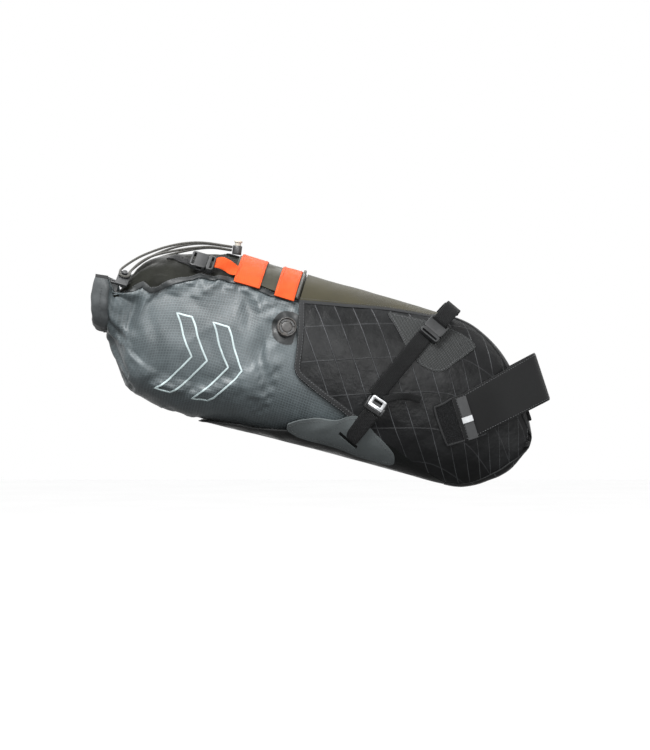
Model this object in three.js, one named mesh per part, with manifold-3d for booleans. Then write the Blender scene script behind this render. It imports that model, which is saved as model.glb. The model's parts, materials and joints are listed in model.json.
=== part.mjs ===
// Seat bag for bikepacking: a stiff holster that hangs under the saddle and holds a removable roll-top dry
// bag. Units are millimetres. The part frame has +X forward, +Y to the bicycle's left and +Z up, with its
// origin on the seat post's axis, at the middle of the strap that wraps the post. The bag is drawn in its
// own frame, turned nose-down about Y by BAG_TILT: u runs along the bag towards its nose, y to the left
// and w up out of the bag's top. "Right" pieces lie at negative y, and "left" pieces mirror them.
import * as THREE from "three";
import { mergeVertices } from "three/addons/utils/BufferGeometryUtils.js";
import Module from "manifold-3d";

const wasm = await Module();
wasm.setup();

// ---------- driving dimensions ----------
const DEG = Math.PI / 180;
const BAG_TILT = 16 * DEG;
const POST_TILT = 18 * DEG;
const POST_RADIUS = 13.6;
const WEBBING = 20;
const WEBBING_THICK = 2;
const CORD_RADIUS = 1.5;
const GAP = 0.4;

// The dry bag's outer wall: place along the bag, then height of its top, height of its bottom and half its
// width. Towards the nose every section fits inside the one behind it, so that the dry bag can slide out
// of the holster.
const SECTIONS = [
  [-514, -8, -99, 64],
  [-502, 9, -115, 73],
  [-486, 20, -128, 80],
  [-465, 29, -143, 85],
  [-440, 37, -153.5, 88],
  [-400, 44.5, -156.5, 90],
  [-340, 45, -155, 90],
  [-300, 45, -153, 88],
  [-250, 45, -152, 83],
  [-200, 45, -150.5, 76],
  [-150, 44.5, -150, 68],
  [-94, 42, -149.5, 56],
  [-74, 35, -149, 50],
  [-49, 20, -146, 40.5],
  [-30, 2.5, -137, 32],
  [-19, -10.5, -129, 27.5],
  [-6, -30, -119, 22.5],
  [5.6, -47, -105, 18],
  [15, -65, -84, 13],
];
const RING = 24; // sides of one section
const SQUARENESS = 2.4; // exponent of the superellipse that each section follows
const NOSE_FROM = -90; // where offsets start to push the wall forwards as well as outwards
const NOSE_FULL = -20;
const NOSE_PUSH = 0.6;

// Layers of material, as offsets from the dry bag's outer wall.
const DRY_WALL = [-2.4, 0];
const TOP_FABRIC = [0.3, 1.5];
const STIFFENER = [0.8, 2.2];
const HOLSTER_WALL = [2.6, 4.6];
const HARNESS = [2.1, 3.8];
const OVER_HARNESS = [4.2, 5.8];
const SHOULDER_WEBBING = [1.9, 3.5];
const TAUT_WEBBING = [4.9, 6.5]; // it spans from the harness to the buckle, clear of the sliding dry bag
const PATCH = [5, 6.2];
const STRAP_LAYER = [6.6, 8.6];
const FLAP_LAYER = [6.6, 9];
const TAB_LAYER = [9.4, 10.8];

const OPENING_U = -301; // rear edge of the holster's top panel
const NOSE_PANEL_U = -120;
const NOSE_PANEL_HALF = 16;
const HARNESS_REAR_U = -386;
const HARNESS_HALF = 66;

// ---------- materials ----------
const material = (color, roughness, metalness = 0) =>
  new THREE.MeshStandardMaterial({ color, roughness, metalness });
const laminate = material(0x1c1d1f, 0.45);
const olive = material(0x3a382f, 0.8);
const glossyPanel = material(0x0c0c0d, 0.3);
const ripstop = material(0x3a4044, 0.7);
const topFabric = material(0x33342f, 0.6);
const binding = material(0x26282a, 0.7);
const greyPatch = material(0x47484a, 0.85);
const wingRubber = material(0x3b3e3e, 0.8);
const blackWebbing = material(0x17181a, 0.85);
const orangeWebbing = material(0xe5562a, 0.8);
const loopPile = material(0x0b0b0c, 1);
const blackPlastic = material(0x101112, 0.4);
const greyPlastic = material(0x8d8a80, 0.5);
const silver = material(0xc9cbcd, 0.35, 1);
const springSteel = material(0x9b9ea1, 0.35, 1);
const cordSheath = material(0x141516, 0.8);
const seal = material(0x0f0f10, 0.7);
const stiffPlastic = material(0x1b1b1c, 0.5);

// ---------- solids and meshes ----------
function solidOf(geometry) {
  const flat = geometry.index ? geometry.toNonIndexed() : geometry.clone();
  const bare = new THREE.BufferGeometry().setAttribute("position", flat.getAttribute("position"));
  const merged = mergeVertices(bare, 1e-4);
  return new wasm.Manifold(
    new wasm.Mesh({
      numProp: 3,
      vertProperties: merged.attributes.position.array,
      triVerts: new Uint32Array(merged.index.array),
    }),
  );
}

function geometryOf(solid) {
  const { numProp, vertProperties, triVerts } = solid.getMesh();
  const positions = new Float32Array((vertProperties.length / numProp) * 3);
  for (let i = 0; i < positions.length / 3; i++) {
    positions.set(vertProperties.subarray(i * numProp, i * numProp + 3), i * 3);
  }
  const geometry = new THREE.BufferGeometry();
  geometry.setAttribute("position", new THREE.BufferAttribute(positions, 3));
  geometry.setIndex(new THREE.BufferAttribute(new Uint32Array(triVerts), 1));
  return geometry;
}

function node(name, shape, look) {
  const geometry = shape.isBufferGeometry ? shape : geometryOf(shape);
  geometry.computeVertexNormals();
  const mesh = new THREE.Mesh(geometry, look);
  mesh.name = name;
  return mesh;
}

// A rectangle with round corners, centred on (x, y).
function roundedRect(width, height, radius, x = 0, y = 0) {
  const [w, h] = [width / 2, height / 2];
  const shape = new THREE.Shape();
  shape.absarc(x + w - radius, y + h - radius, radius, 0, 90 * DEG);
  shape.absarc(x - w + radius, y + h - radius, radius, 90 * DEG, 180 * DEG);
  shape.absarc(x - w + radius, y - h + radius, radius, 180 * DEG, 270 * DEG);
  shape.absarc(x + w - radius, y - h + radius, radius, 270 * DEG, 360 * DEG);
  return shape;
}

const extrude = (shape, depth, curveSegments = 1) =>
  new THREE.ExtrudeGeometry(shape, { depth, bevelEnabled: false, curveSegments });

// A plate lying in x and y, centred on the origin, from z = 0 up.
const plate = (width, height, thick, radius = 2) => extrude(roundedRect(width, height, radius), thick);

const outline = (points) => new THREE.Shape(points.map(([x, y]) => new THREE.Vector2(x, y)));

// ---------- the bag's wall ----------
function sectionAt(u) {
  const last = SECTIONS.length - 1;
  const next = Math.min(last, Math.max(1, SECTIONS.findIndex((s) => s[0] >= u)));
  const [a, b] = [SECTIONS[next - 1], SECTIONS[next]];
  const t = (u - a[0]) / (b[0] - a[0]);
  return [1, 2, 3].map((i) => THREE.MathUtils.lerp(a[i], b[i], t));
}

const power = (x) => Math.sign(x) * Math.abs(x) ** (2 / SQUARENESS);

// The bag's outer wall moved out by an offset, as one solid: a cylinder whose rings take the sections'
// shapes.
function bagSolid(offset) {
  const geometry = new THREE.CylinderGeometry(1, 1, SECTIONS.length - 1, RING, SECTIONS.length - 1);
  const at = geometry.getAttribute("position");
  for (let i = 0; i < at.count; i++) {
    const row = Math.round(at.getY(i) + (SECTIONS.length - 1) / 2);
    const [u, top, bottom, half] = SECTIONS[row];
    const radius = Math.hypot(at.getX(i), at.getZ(i));
    const angle = Math.atan2(at.getZ(i), at.getX(i));
    const push = NOSE_PUSH * offset * THREE.MathUtils.smoothstep(u, NOSE_FROM, NOSE_FULL);
    at.setXYZ(
      i,
      u + push,
      radius * (half + offset) * power(Math.sin(angle)),
      (top + bottom) / 2 + radius * ((top - bottom) / 2 + offset) * power(Math.cos(angle)),
    );
  }
  return solidOf(geometry);
}

const layer = ([inner, outer]) => bagSolid(outer).subtract(bagSolid(inner));

// How far out the wall is at height w, and its outward direction there, on the right-hand side.
function sideY(u, w, offset) {
  const [top, bottom, half] = sectionAt(u);
  const high = Math.abs((w - (top + bottom) / 2) / ((top - bottom) / 2 + offset));
  return -(half + offset) * (1 - high ** SQUARENESS) ** (1 / SQUARENESS);
}

function rightNormal(u, w, offset) {
  const step = 4;
  const du = (sideY(u + step, w, offset) - sideY(u - step, w, offset)) / (2 * step);
  const dw = (sideY(u, w + step, offset) - sideY(u, w - step, offset)) / (2 * step);
  return new THREE.Vector3(du, -1, dw).normalize();
}

// A group on the right-hand wall: its z points outwards, and its y along the wall, leaning forwards by an
// angle. A straight one keeps that direction exactly and lets z lean instead.
function onWall(u, w, offset, lean, straight = false) {
  const group = new THREE.Group();
  const out = rightNormal(u, w, offset);
  const along = new THREE.Vector3(Math.sin(lean), 0, Math.cos(lean));
  if (straight) out.addScaledVector(along, -out.dot(along)).normalize();
  along.addScaledVector(out, -along.dot(out)).normalize();
  const across = new THREE.Vector3().crossVectors(along, out);
  group.matrix.makeBasis(across, along, out);
  group.matrix.setPosition(u, sideY(u, w, offset), w);
  group.matrix.decompose(group.position, group.quaternion, group.scale);
  return group;
}

// ---------- cutters ----------
const FAR = 160;

// A block over an outline in u and w, reaching from y = -inner out past the right-hand wall.
function rightBlock(points, inner = 0) {
  const geometry = extrude(outline(points), FAR).rotateX(90 * DEG).translate(0, -inner, 0);
  return solidOf(geometry);
}

// The same block through the whole width.
function throughBlock(points) {
  const geometry = extrude(outline(points), 2 * FAR).rotateX(90 * DEG).translate(0, FAR, 0);
  return solidOf(geometry);
}

// A block over an outline in u and y, above the bag's middle.
function topBlock(points) {
  return solidOf(extrude(outline(points), FAR).translate(0, 0, -40));
}

const box = (u0, u1, y0, y1, w0, w1) =>
  solidOf(
    new THREE.BoxGeometry(u1 - u0, y1 - y0, w1 - w0).translate((u0 + u1) / 2, (y0 + y1) / 2, (w0 + w1) / 2),
  );

// A band of a given width along a line of points, as an outline.
function bandAlong(points, width) {
  const half = width / 2;
  const sides = [1, -1].map((side) =>
    points.map(([x, y], i) => {
      const a = points[Math.max(0, i - 1)];
      const b = points[Math.min(points.length - 1, i + 1)];
      const length = Math.hypot(b[0] - a[0], b[1] - a[1]);
      return [x - (side * half * (b[1] - a[1])) / length, y + (side * half * (b[0] - a[0])) / length];
    }),
  );
  return [...sides[1], ...sides[0].reverse()];
}

// Webbing seen from its edge: a path in local y and z, given a thickness, and a width across x.
function foldedBand(path, thick, width) {
  const turn = new THREE.Matrix4().makeBasis(
    new THREE.Vector3(0, 1, 0), new THREE.Vector3(0, 0, 1), new THREE.Vector3(1, 0, 0),
  );
  return extrude(outline(bandAlong(path, thick)), width).translate(0, 0, -width / 2).applyMatrix4(turn);
}

// A section swept along a smooth curve through some points.
function sweep(section, points, steps, curveSegments = 1) {
  const extrudePath = new THREE.CatmullRomCurve3(points.map((p) => new THREE.Vector3(...p)));
  return new THREE.ExtrudeGeometry(section, { steps, extrudePath, bevelEnabled: false, curveSegments });
}

const tube = (points, radius, steps) =>
  sweep(new THREE.Shape().absarc(0, 0, radius, 0, 360 * DEG), points, steps, 4);

// A turned piece about its own z, from a profile of radii and heights.
function turned(profile, segments = 16) {
  const points = profile.map(([r, z]) => new THREE.Vector2(r, z));
  return new THREE.LatheGeometry([...points, points[0]], segments).rotateX(90 * DEG);
}

// ---------- the holster ----------
const OPENING_EDGE = [[-297, 12.6], [-279, -71], [-203, -101.4], [-166, -119]];
const TOP_SEAM = [[-300, 12.6], [-245, 23.6], [-195, 34], [-142, 40.4], [NOSE_PANEL_U, 43.5]];
const BOTTOM_SEAM = [[-166, -119], [-138, -127], [-69, -152]];

function holster() {
  const wall = layer(HOLSTER_WALL);
  const nose = box(NOSE_PANEL_U, 60, -NOSE_PANEL_HALF, NOSE_PANEL_HALF, -FAR, FAR);
  const noseGap = box(
    NOSE_PANEL_U - GAP, 60, -NOSE_PANEL_HALF - GAP, NOSE_PANEL_HALF + GAP, -FAR, FAR,
  );
  const below = [[60, -152], [60, -200], [-380, -200]];
  const bottomEdge = [[-380, -160], [-328, -154], [-300, -149], [-276, -144], [-240, -132], [-203, -118]];
  const bottomBlock = throughBlock([...bottomEdge, ...BOTTOM_SEAM, ...below]);
  const raised = [...bottomEdge, ...BOTTOM_SEAM, below[0]].map(([u, w]) => [u, w + GAP]);
  const bottomGap = throughBlock([...raised, below[1], below[2]]);
  const side = rightBlock([
    ...OPENING_EDGE, ...BOTTOM_SEAM, [60, -152], [60, 80], [NOSE_PANEL_U, 80],
    ...TOP_SEAM.map(([u, w]) => [u, w - GAP]).reverse(),
  ]);
  const top = throughBlock([...TOP_SEAM, [NOSE_PANEL_U, 90], [OPENING_U, 90], [OPENING_U, 12.6]]);
  const tongue = solidOf(
    extrude(roundedRect(350, 130, 50, -200, 0), FAR).translate(0, 0, -FAR - 100),
  );
  const frontOfBottom = box(-100, 60, -FAR, FAR, -FAR - 60, 0);
  const sidePanel = wall.intersect(side).subtract(noseGap).subtract(bottomGap);
  return {
    sidePanel,
    topPanel: wall.intersect(top).subtract(noseGap),
    bottomPanel: wall.intersect(bottomBlock).intersect(tongue.add(frontOfBottom)),
    nosePanel: wall.intersect(nose).subtract(bottomGap),
  };
}

// Stiff sheets between the holster and the dry bag: one under the bag, one behind the nose.
function stiffeners() {
  const sheet = layer(STIFFENER);
  return {
    base: sheet.intersect(box(-290, -70, -44, 44, -FAR, -120)),
    nose: sheet.intersect(box(-60, 60, -20, 20, -120, 30)),
  };
}

// ---------- patches, tapes and webbing that lie on the right-hand wall ----------
const WING = [
  [-262, -125], [-240, -116], [-216, -113], [-205, -104], [-196, -100], [-176, -110], [-150, -125],
  [-137, -134], [-134, -144], [-140, -150], [-176, -152], [-202, -146], [-223, -147], [-256, -147],
  [-271, -143], [-274, -134],
];
const RAIL_PATCH = [
  [-196, 30.5], [-161, -4], [-139, -20.7], [-122, -24.5], [-108, -21], [-86, 7], [-77, 22], [-82, 30],
  [-110, 37], [-142, 36.4], [-180, 33],
];
const LOOP_PATCH = [[-109, -65], [-79, -106.5], [-38, -79], [-66, -36]];
const STRAP_LEAN = 18 * DEG;
const CAM = [-177, -81];
const BUCKLE = [-136, 20];

// A point so far up the strap's line from the cam buckle.
const alongStrap = (distance) => [
  CAM[0] + distance * Math.sin(STRAP_LEAN),
  CAM[1] + distance * Math.cos(STRAP_LEAN),
];

function rightLayers() {
  const patch = layer(PATCH);
  const strap = layer(STRAP_LAYER);
  const edge = OPENING_EDGE.slice(0, 3);
  const innerEdge = edge.map(([u, w], i) => [u + [8, 6, 4][i], w + [-2, 4, 9][i]]);
  const binding = patch.intersect(
    rightBlock([...edge.map(([u, w]) => [u - 1, w]), ...innerEdge.reverse()], 20),
  );
  const seamLine = TOP_SEAM.slice(0, -1).map(([u, w]) => [u + 1, w]);
  const seamTape = patch.intersect(rightBlock(bandAlong(seamLine, 6), 20));
  const slot = rightBlock(bandAlong([[-209, -126], [-184, -137]], 5), 30);
  const strapLine = [alongStrap(13), alongStrap(40), alongStrap(70), [-146.5, 2]];
  return {
    piping: binding.add(seamTape),
    railPatch: patch.intersect(rightBlock(RAIL_PATCH.map(([u, w]) => [u, w - 4]), 30)),
    wing: patch.intersect(rightBlock(WING, 30)).subtract(slot),
    strap: strap.intersect(rightBlock(bandAlong(strapLine, WEBBING), 30)),
  };
}

// ---------- the harness on top, part of the holster ----------
function harness() {
  const over = layer(OVER_HARNESS);
  const across = (u0, u1, half) => topBlock([[u0, -half], [u1, -half], [u1, half], [u0, half]]);
  return {
    panel: layer(HARNESS).intersect(across(HARNESS_REAR_U, OPENING_U - GAP, HARNESS_HALF)),
    rearBand: over.intersect(across(-384, -350, HARNESS_HALF)),
    frontBand: over.intersect(across(-331, OPENING_U - 6, HARNESS_HALF)),
  };
}

// A shock cord laid across the harness, just ahead of the front band.
function crossCord() {
  const u = OPENING_U - 3.2;
  const [top, bottom, half] = sectionAt(u);
  const offset = HARNESS[1] + CORD_RADIUS + GAP;
  const points = [];
  for (let angle = -52; angle <= 52; angle += 8) {
    const y = (half + offset) * power(Math.sin(angle * DEG));
    const w = (top + bottom) / 2 + ((top - bottom) / 2 + offset) * power(Math.cos(angle * DEG));
    points.push([u, y, w]);
  }
  return tube(points, CORD_RADIUS, 14);
}

// ---------- side-release buckle: y runs along its strap, z out of the wall ----------
const BUCKLE_WIDTH = 26;
const BUCKLE_THICK = 7;
const SOCKET_LENGTH = 20;
const PRONG_BASE = 9;
const PRONG_LENGTH = 11;

const webSlot = (y) => solidOf(new THREE.BoxGeometry(21.4, 3, 20).translate(0, y, 0));

// The socket half: a flat box with a mouth for the prongs at its lower end and a bar for webbing at its
// upper end.
function socketHalf() {
  const middle = BUCKLE_THICK / 2;
  const shell = plate(BUCKLE_WIDTH, SOCKET_LENGTH, BUCKLE_THICK, 3).translate(0, SOCKET_LENGTH / 2, 0);
  const mouth = solidOf(new THREE.BoxGeometry(21.4, 25, 4).translate(0, 0, middle));
  const sideWindow = solidOf(new THREE.BoxGeometry(40, 6, 4).translate(0, 7.5, middle));
  return solidOf(shell).subtract(mouth).subtract(webSlot(SOCKET_LENGTH - 4)).subtract(sideWindow);
}

// The prong half: a base with a webbing bar, two side prongs and a guide between them.
function prongHalf() {
  const base = plate(BUCKLE_WIDTH, PRONG_BASE, BUCKLE_THICK, 3).translate(0, -PRONG_BASE / 2 - GAP, 0);
  const prong = (x, width) =>
    solidOf(new THREE.BoxGeometry(width, PRONG_LENGTH + 1.5, 3)
      .translate(x, (PRONG_LENGTH - 1.5) / 2, BUCKLE_THICK / 2));
  return solidOf(base).subtract(webSlot(-6)).add(prong(-8.2, 4)).add(prong(8.2, 4)).add(prong(0, 3));
}

// ---------- cam buckle on the compression strap ----------
const CAM_WIDTH = 25;
const PIN_AT = [0, -4, 5.5];
const crossPin = (radius, length) =>
  solidOf(new THREE.CylinderGeometry(radius, radius, length, 10).rotateZ(90 * DEG).translate(...PIN_AT));

// The body holds the lever's pin between its cheeks.
function camBody() {
  const body = solidOf(plate(CAM_WIDTH, 16, 3, 2).translate(0, -2, 0));
  const cheek = (x) => solidOf(new THREE.BoxGeometry(2, 9, 8).translate(x, PIN_AT[1], 4));
  return body.subtract(webSlot(4)).add(cheek(-11.5)).add(cheek(11.5)).add(crossPin(1.1, 24));
}

// The lever is a flat metal frame, bored for its pin.
function camLever() {
  const frame = solidOf(plate(20, 15, 2.2, 2).translate(0, 1.5, 4.4));
  const window = solidOf(plate(12, 6.5, 20, 1).translate(0, 2.6, -5));
  const barrel = crossPin(2, 20);
  return frame.subtract(window).add(barrel).subtract(crossPin(1.4, 40));
}

// Webbing from the wing's slot up to the cam buckle's bar, folded back on itself.
function lowerLoop() {
  const sheet = layer([6.5, 9.5]);
  const line = [alongStrap(-50), alongStrap(-28), alongStrap(-11)];
  return sheet.intersect(rightBlock(bandAlong(line, WEBBING), 30));
}

// ---------- webbing loop over the saddle rail, from the rail buckle ----------
// Its path lies in the buckle's own y and z: out of the socket's slot, over the rail and down onto the
// bag's top.
const RAIL_LOOP = [
  [16, 0.8], [16.2, 8], [18.5, 10.4], [27, 13.4], [38, 13.8], [45, 10.6], [49, 4], [49.6, -5], [51, -9.8],
  [55, -13.2],
];
const RAIL_LOOP_LEAN = 24 * DEG;

// ---------- one side of the bag ----------
function sidePieces(side, panels) {
  const group = new THREE.Group();
  const layers = rightLayers();
  const add = (name, shape, look) => group.add(node(`${name}_${side}`, shape, look));
  add("holster_side_panel", panels.sidePanel, laminate);
  add("holster_piping", layers.piping, binding);
  add("rail_patch", layers.railPatch, greyPatch);
  add("compression_wing", layers.wing, wingRubber);
  add("compression_strap", layers.strap, blackWebbing);
  add("lower_strap_loop", lowerLoop(), blackWebbing);

  const cam = onWall(...CAM, 6.6, STRAP_LEAN);
  cam.add(
    node(`cam_buckle_body_${side}`, camBody(), blackPlastic),
    node(`cam_lever_${side}`, camLever(), silver),
  );

  const buckle = onWall(...BUCKLE, 8.9, RAIL_LOOP_LEAN);
  buckle.add(
    node(`rail_buckle_socket_${side}`, socketHalf(), blackPlastic),
    node(`rail_buckle_prongs_${side}`, prongHalf(), blackPlastic),
    node(`rail_loop_${side}`, foldedBand(RAIL_LOOP, WEBBING_THICK, WEBBING), blackWebbing),
  );
  group.add(cam, buckle, shoulderPieces(side));
  return group;
}

// ---------- shoulder buckles between the holster's harness and the dry bag ----------
const SHOULDER = [-421, 24];

function shoulderPieces(side) {
  const group = new THREE.Group();
  const band = (u0, u1, offsets) =>
    layer(offsets).intersect(rightBlock(bandAlong([[u0, SHOULDER[1]], [u1, SHOULDER[1]]], 15), 20));
  const buckle = onWall(...SHOULDER, 4.8, -90 * DEG, true);
  buckle.add(
    node(`shoulder_buckle_socket_${side}`, socketHalf(), blackPlastic),
    node(`shoulder_buckle_prongs_${side}`, prongHalf(), blackPlastic),
  );
  group.add(
    node(`shoulder_tab_${side}`, band(-466, -436, SHOULDER_WEBBING), blackWebbing),
    node(`shoulder_strap_${side}`, band(-408.5, HARNESS_REAR_U - GAP, TAUT_WEBBING), orangeWebbing),
    buckle,
  );
  return group;
}

// ---------- dry bag ----------
const MOUTH_W = -84;
const VALVE = [-306, -21.7];
const VALVE_RADIUS = 12.5;

function dryBag() {
  const [inner, outer] = DRY_WALL;
  const hollow = bagSolid(inner).subtract(box(-520, -511.6, -FAR, FAR, -FAR, FAR));
  const mouth = box(-530, -500, -50, 50, MOUTH_W - 8, MOUTH_W + 26);
  const shell = bagSolid(outer).subtract(hollow).subtract(mouth);
  const edge = [[-502, -38], [-478, -21], [-452, -1], [-427, 11], [-379, 16], [-336, 13], [-303, 15]];
  const topPanel = layer(TOP_FABRIC).intersect(throughBlock([...edge, [-303, 90], [-502, 90]]));
  return { shell, topPanel };
}

// The air valve's own z points out of the right-hand wall.
function valveBase() {
  return turned([[6, -4.4], [7.6, -4.4], [7.6, 0], [VALVE_RADIUS, 0], [VALVE_RADIUS, 2.2], [6, 2.2]], 24);
}

const valveSeal = () => new THREE.CylinderGeometry(5.6, 5.6, 1.2, 20).rotateX(90 * DEG).translate(0, 0, -1);

function valveCap() {
  const profile = [
    [0, 2.6], [11.4, 2.6], [12, 3.4], [12, 5.6], [11, 6.6], [8.6, 6.6], [8.6, 5.4], [0, 5.4],
  ];
  const cap = solidOf(turned(profile, 24));
  const notch = (angle) =>
    solidOf(new THREE.BoxGeometry(3.2, 3, 3).translate(0, 10.6, 6.6).rotateZ(angle));
  return [45, 135, 225, 315].reduce((shape, angle) => shape.subtract(notch(angle * DEG)), cap);
}

// ---------- rolled mouth of the dry bag ----------
const ROLL_LENGTHWISE = 22;
const ROLL_THICK = 12;
const ROLL_PATH = [
  [-538, -84, -22], [-536.5, -83.5, -34], [-532.5, -79.5, -54], [-528.5, -68, -70], [-526.5, -46, -79],
  [-526, -20, -81.6], [-526, 0, -82],
];

const ROLL_POINTS = [...ROLL_PATH, ...ROLL_PATH.slice(0, -1).reverse().map(([u, y, w]) => [u, -y, w])];

function rolledCollar() {
  const section = roundedRect(ROLL_THICK, ROLL_LENGTHWISE, 5);
  section.holes.push(new THREE.Path(roundedRect(3, 17, 0.5).getPoints(1).reverse()));
  return sweep(section, ROLL_POINTS, 14);
}

const rollStrip = () => sweep(roundedRect(1.8, 15.6, 0.4), ROLL_POINTS, 14);

// The clip on the end of the roll: a plate with arms that reach the roll and a post that holds the bungee.
const CLIP = [-513, -72, -21];
const CLIP_LEAN = 42 * DEG;
const CLIP_POST = [0, 6];
const CLIP_POST_RADIUS = 3.2;

function rollClip() {
  const body = solidOf(plate(15, 24, 3.4, 2));
  const arm = (y) => solidOf(new THREE.BoxGeometry(7.4, 2, 2.4).translate(-9.1, y, 1.7));
  const post = new THREE.CylinderGeometry(CLIP_POST_RADIUS, CLIP_POST_RADIUS, 8, 16).rotateX(90 * DEG);
  return body.add(arm(-11)).add(arm(-7.6)).add(solidOf(post.translate(...CLIP_POST, 4.6)));
}

// ---------- bungee and its cord lock ----------
const LOCK = [-392, 0, 49];
const LOCK_RADIUS = 5.8;
const BUTTON_TRAVEL = 3.5;
const LOCK_HEIGHT = 11;

const lockBarrel = () =>
  turned([[0, 0], [LOCK_RADIUS, 0], [LOCK_RADIUS, LOCK_HEIGHT], [4.3, LOCK_HEIGHT], [4.3, 1.4], [0, 1.4]]);

function lockButton() {
  const under = LOCK_HEIGHT + BUTTON_TRAVEL + 0.4;
  const head = [[5.2, under], [5.2, under + 2.2], [4.2, under + 3], [0, under + 3]];
  return turned([[0, 7], [3.9, 7], [3.9, under], ...head]);
}

function lockSpring() {
  const points = [];
  for (let step = 0; step <= 24; step++) {
    const angle = step * 45 * DEG;
    points.push([2.9 * Math.cos(angle), 2.9 * Math.sin(angle), 2.2 + (step * 4.2) / 24]);
  }
  return sweep(roundedRect(0.8, 0.8, 0.1), points, 28);
}

// Right-hand bungee: from the cord lock back over the crown, round the clip's post and back.
const BUNGEE = [
  [-399.5, -4.5, 52.5], [-424, -12, 49], [-446, -20, 41], [-467, -31, 30.5], [-487, -44, 18.5],
  [-499, -55, 6.5], [-506.9, -64.4, -7], [-506.9, -71.5, -12.7], [-508.6, -74.6, -15.4], [-513, -76, -16.6],
  [-517.4, -74.6, -15.4], [-519.1, -71.5, -12.7], [-518, -65.1, -7], [-507, -53, 7.5], [-494, -42, 20],
  [-475, -31, 34], [-454, -22, 45], [-432, -13, 52], [-399.8, -4, 56.6],
];

function lockAnchor() {
  const strip = layer(SHOULDER_WEBBING).intersect(box(-404, -388, -6, 6, 0, FAR));
  return strip;
}

// ---------- seat-post strap ----------
const fromPost = (geometry) => geometry.rotateY(-(BAG_TILT + POST_TILT));
const STRAP_INNER = POST_RADIUS + GAP;
const STRAP_OUTER = STRAP_INNER + 2.4;
const STRAP_OUTLINE = [[-82, -43], [-3.6, 34.5], [36, 30], [31, -16], [-48, -86.6]];
const FLANK_END = [-52, 46];

// The strap's section across the post, on the left-hand side: round the post's front, then back to the
// bag's wall.
function strapSection() {
  const tangent = 56 * DEG;
  const section = new THREE.Shape();
  section.moveTo(STRAP_OUTER, 0.2);
  section.absarc(0, 0, STRAP_OUTER, 0.7 * DEG, tangent);
  section.lineTo(FLANK_END[0] + 1.4, FLANK_END[1] + 2);
  section.lineTo(FLANK_END[0], FLANK_END[1]);
  section.absarc(0, 0, STRAP_INNER, tangent, 0.8 * DEG, true);
  return section;
}

function leftFlank() {
  const long = fromPost(extrude(strapSection(), 240, 6).translate(0, 0, -120));
  const flank = solidOf(long).intersect(throughBlock(STRAP_OUTLINE)).subtract(bagSolid(FLAP_LAYER[0]));
  const onBag = layer(FLAP_LAYER).intersect(throughBlock(STRAP_OUTLINE));
  const ahead = solidOf(fromPost(new THREE.BoxGeometry(200, 400, 400).translate(100 - 34, 0, 0)));
  const leftOnly = solidOf(new THREE.BoxGeometry(400, 200, 400).translate(-100, 100, 0));
  return flank.add(onBag.subtract(ahead).intersect(leftOnly));
}

function seatPostPieces() {
  const group = new THREE.Group();
  const block = new THREE.BoxGeometry(30, 23, 44).translate(-POST_RADIUS - 15, 0, -26);
  const pad = solidOf(fromPost(block)).subtract(bagSolid(HOLSTER_WALL[1] + GAP));
  group.add(node("seatpost_pad", pad, greyPatch), node("seatpost_strap", leftFlank(), loopPile));
  const right = new THREE.Group();
  right.scale.y = -1;
  right.add(node("seatpost_flap", leftFlank(), loopPile));
  const tabLine = [[-73, -39], [-42, -82]];
  const tab = layer(TAB_LAYER).intersect(rightBlock(bandAlong(tabLine, 12), 20));
  const patch = layer(PATCH).intersect(rightBlock(LOOP_PATCH, 20));
  group.add(right, node("flap_pull_tab", tab, greyPatch), node("loop_patch", patch, loopPile));
  return group;
}

// ---------- assembly ----------
const part = new THREE.Group();
const bag = new THREE.Group();
bag.rotation.y = BAG_TILT;
part.add(bag);

const panels = holster();
const stiff = stiffeners();
const top = harness();
bag.add(
  node("holster_top_panel", panels.topPanel, olive),
  node("holster_bottom_panel", panels.bottomPanel, glossyPanel),
  node("holster_nose_panel", panels.nosePanel, laminate),
  node("base_stiffener", stiff.base, stiffPlastic),
  node("nose_stiffener", stiff.nose, stiffPlastic),
  node("harness_panel", top.panel, olive),
  node("harness_band_rear", top.rearBand, orangeWebbing),
  node("harness_band_front", top.frontBand, orangeWebbing),
  node("cross_cord", crossCord(), cordSheath),
);
const left = sidePieces("left", panels);
left.scale.y = -1;
bag.add(sidePieces("right", panels), left, seatPostPieces());

const dry = dryBag();
const valve = onWall(...VALVE, 0.4, 0);
const valveBore = new THREE.CylinderGeometry(8, 8, 20, 20).rotateX(90 * DEG);
valve.updateMatrix();
const shell = dry.shell.subtract(solidOf(valveBore.applyMatrix4(valve.matrix)));
valve.add(
  node("valve_base", valveBase(), blackPlastic),
  node("valve_seal", valveSeal(), seal),
  node("valve_cap", valveCap(), blackPlastic),
);
bag.add(node("dry_bag_shell", shell, ripstop), node("dry_bag_top_panel", dry.topPanel, topFabric), valve);

const lock = new THREE.Group();
lock.position.set(...LOCK);
lock.rotation.y = -8 * DEG;
lock.add(
  node("cord_lock_barrel", lockBarrel(), blackPlastic),
  node("cord_lock_spring", lockSpring(), springSteel),
  node("cord_lock_button", lockButton(), greyPlastic),
);
bag.add(node("cord_lock_anchor", lockAnchor(), blackWebbing), lock);

bag.add(
  node("rolled_collar", rolledCollar(), ripstop),
  node("roll_strip", rollStrip(), stiffPlastic),
);
for (const side of ["right", "left"]) {
  const end = new THREE.Group();
  end.scale.y = side === "left" ? -1 : 1;
  const clip = new THREE.Group();
  clip.position.set(...CLIP);
  clip.rotation.x = CLIP_LEAN;
  clip.add(node(`roll_clip_${side}`, rollClip(), blackPlastic));
  end.add(clip, node(`bungee_${side}`, tube(BUNGEE, CORD_RADIUS, 48), cordSheath));
  bag.add(end);
}

export default part;
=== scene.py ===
"""A bikepacking seat bag: a stiff laminate holster that carries a roll-top dry bag under a saddle."""
import json
import math

import bmesh
import bpy
import numpy as np
from mathutils import Matrix, Vector, geometry, noise

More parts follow.
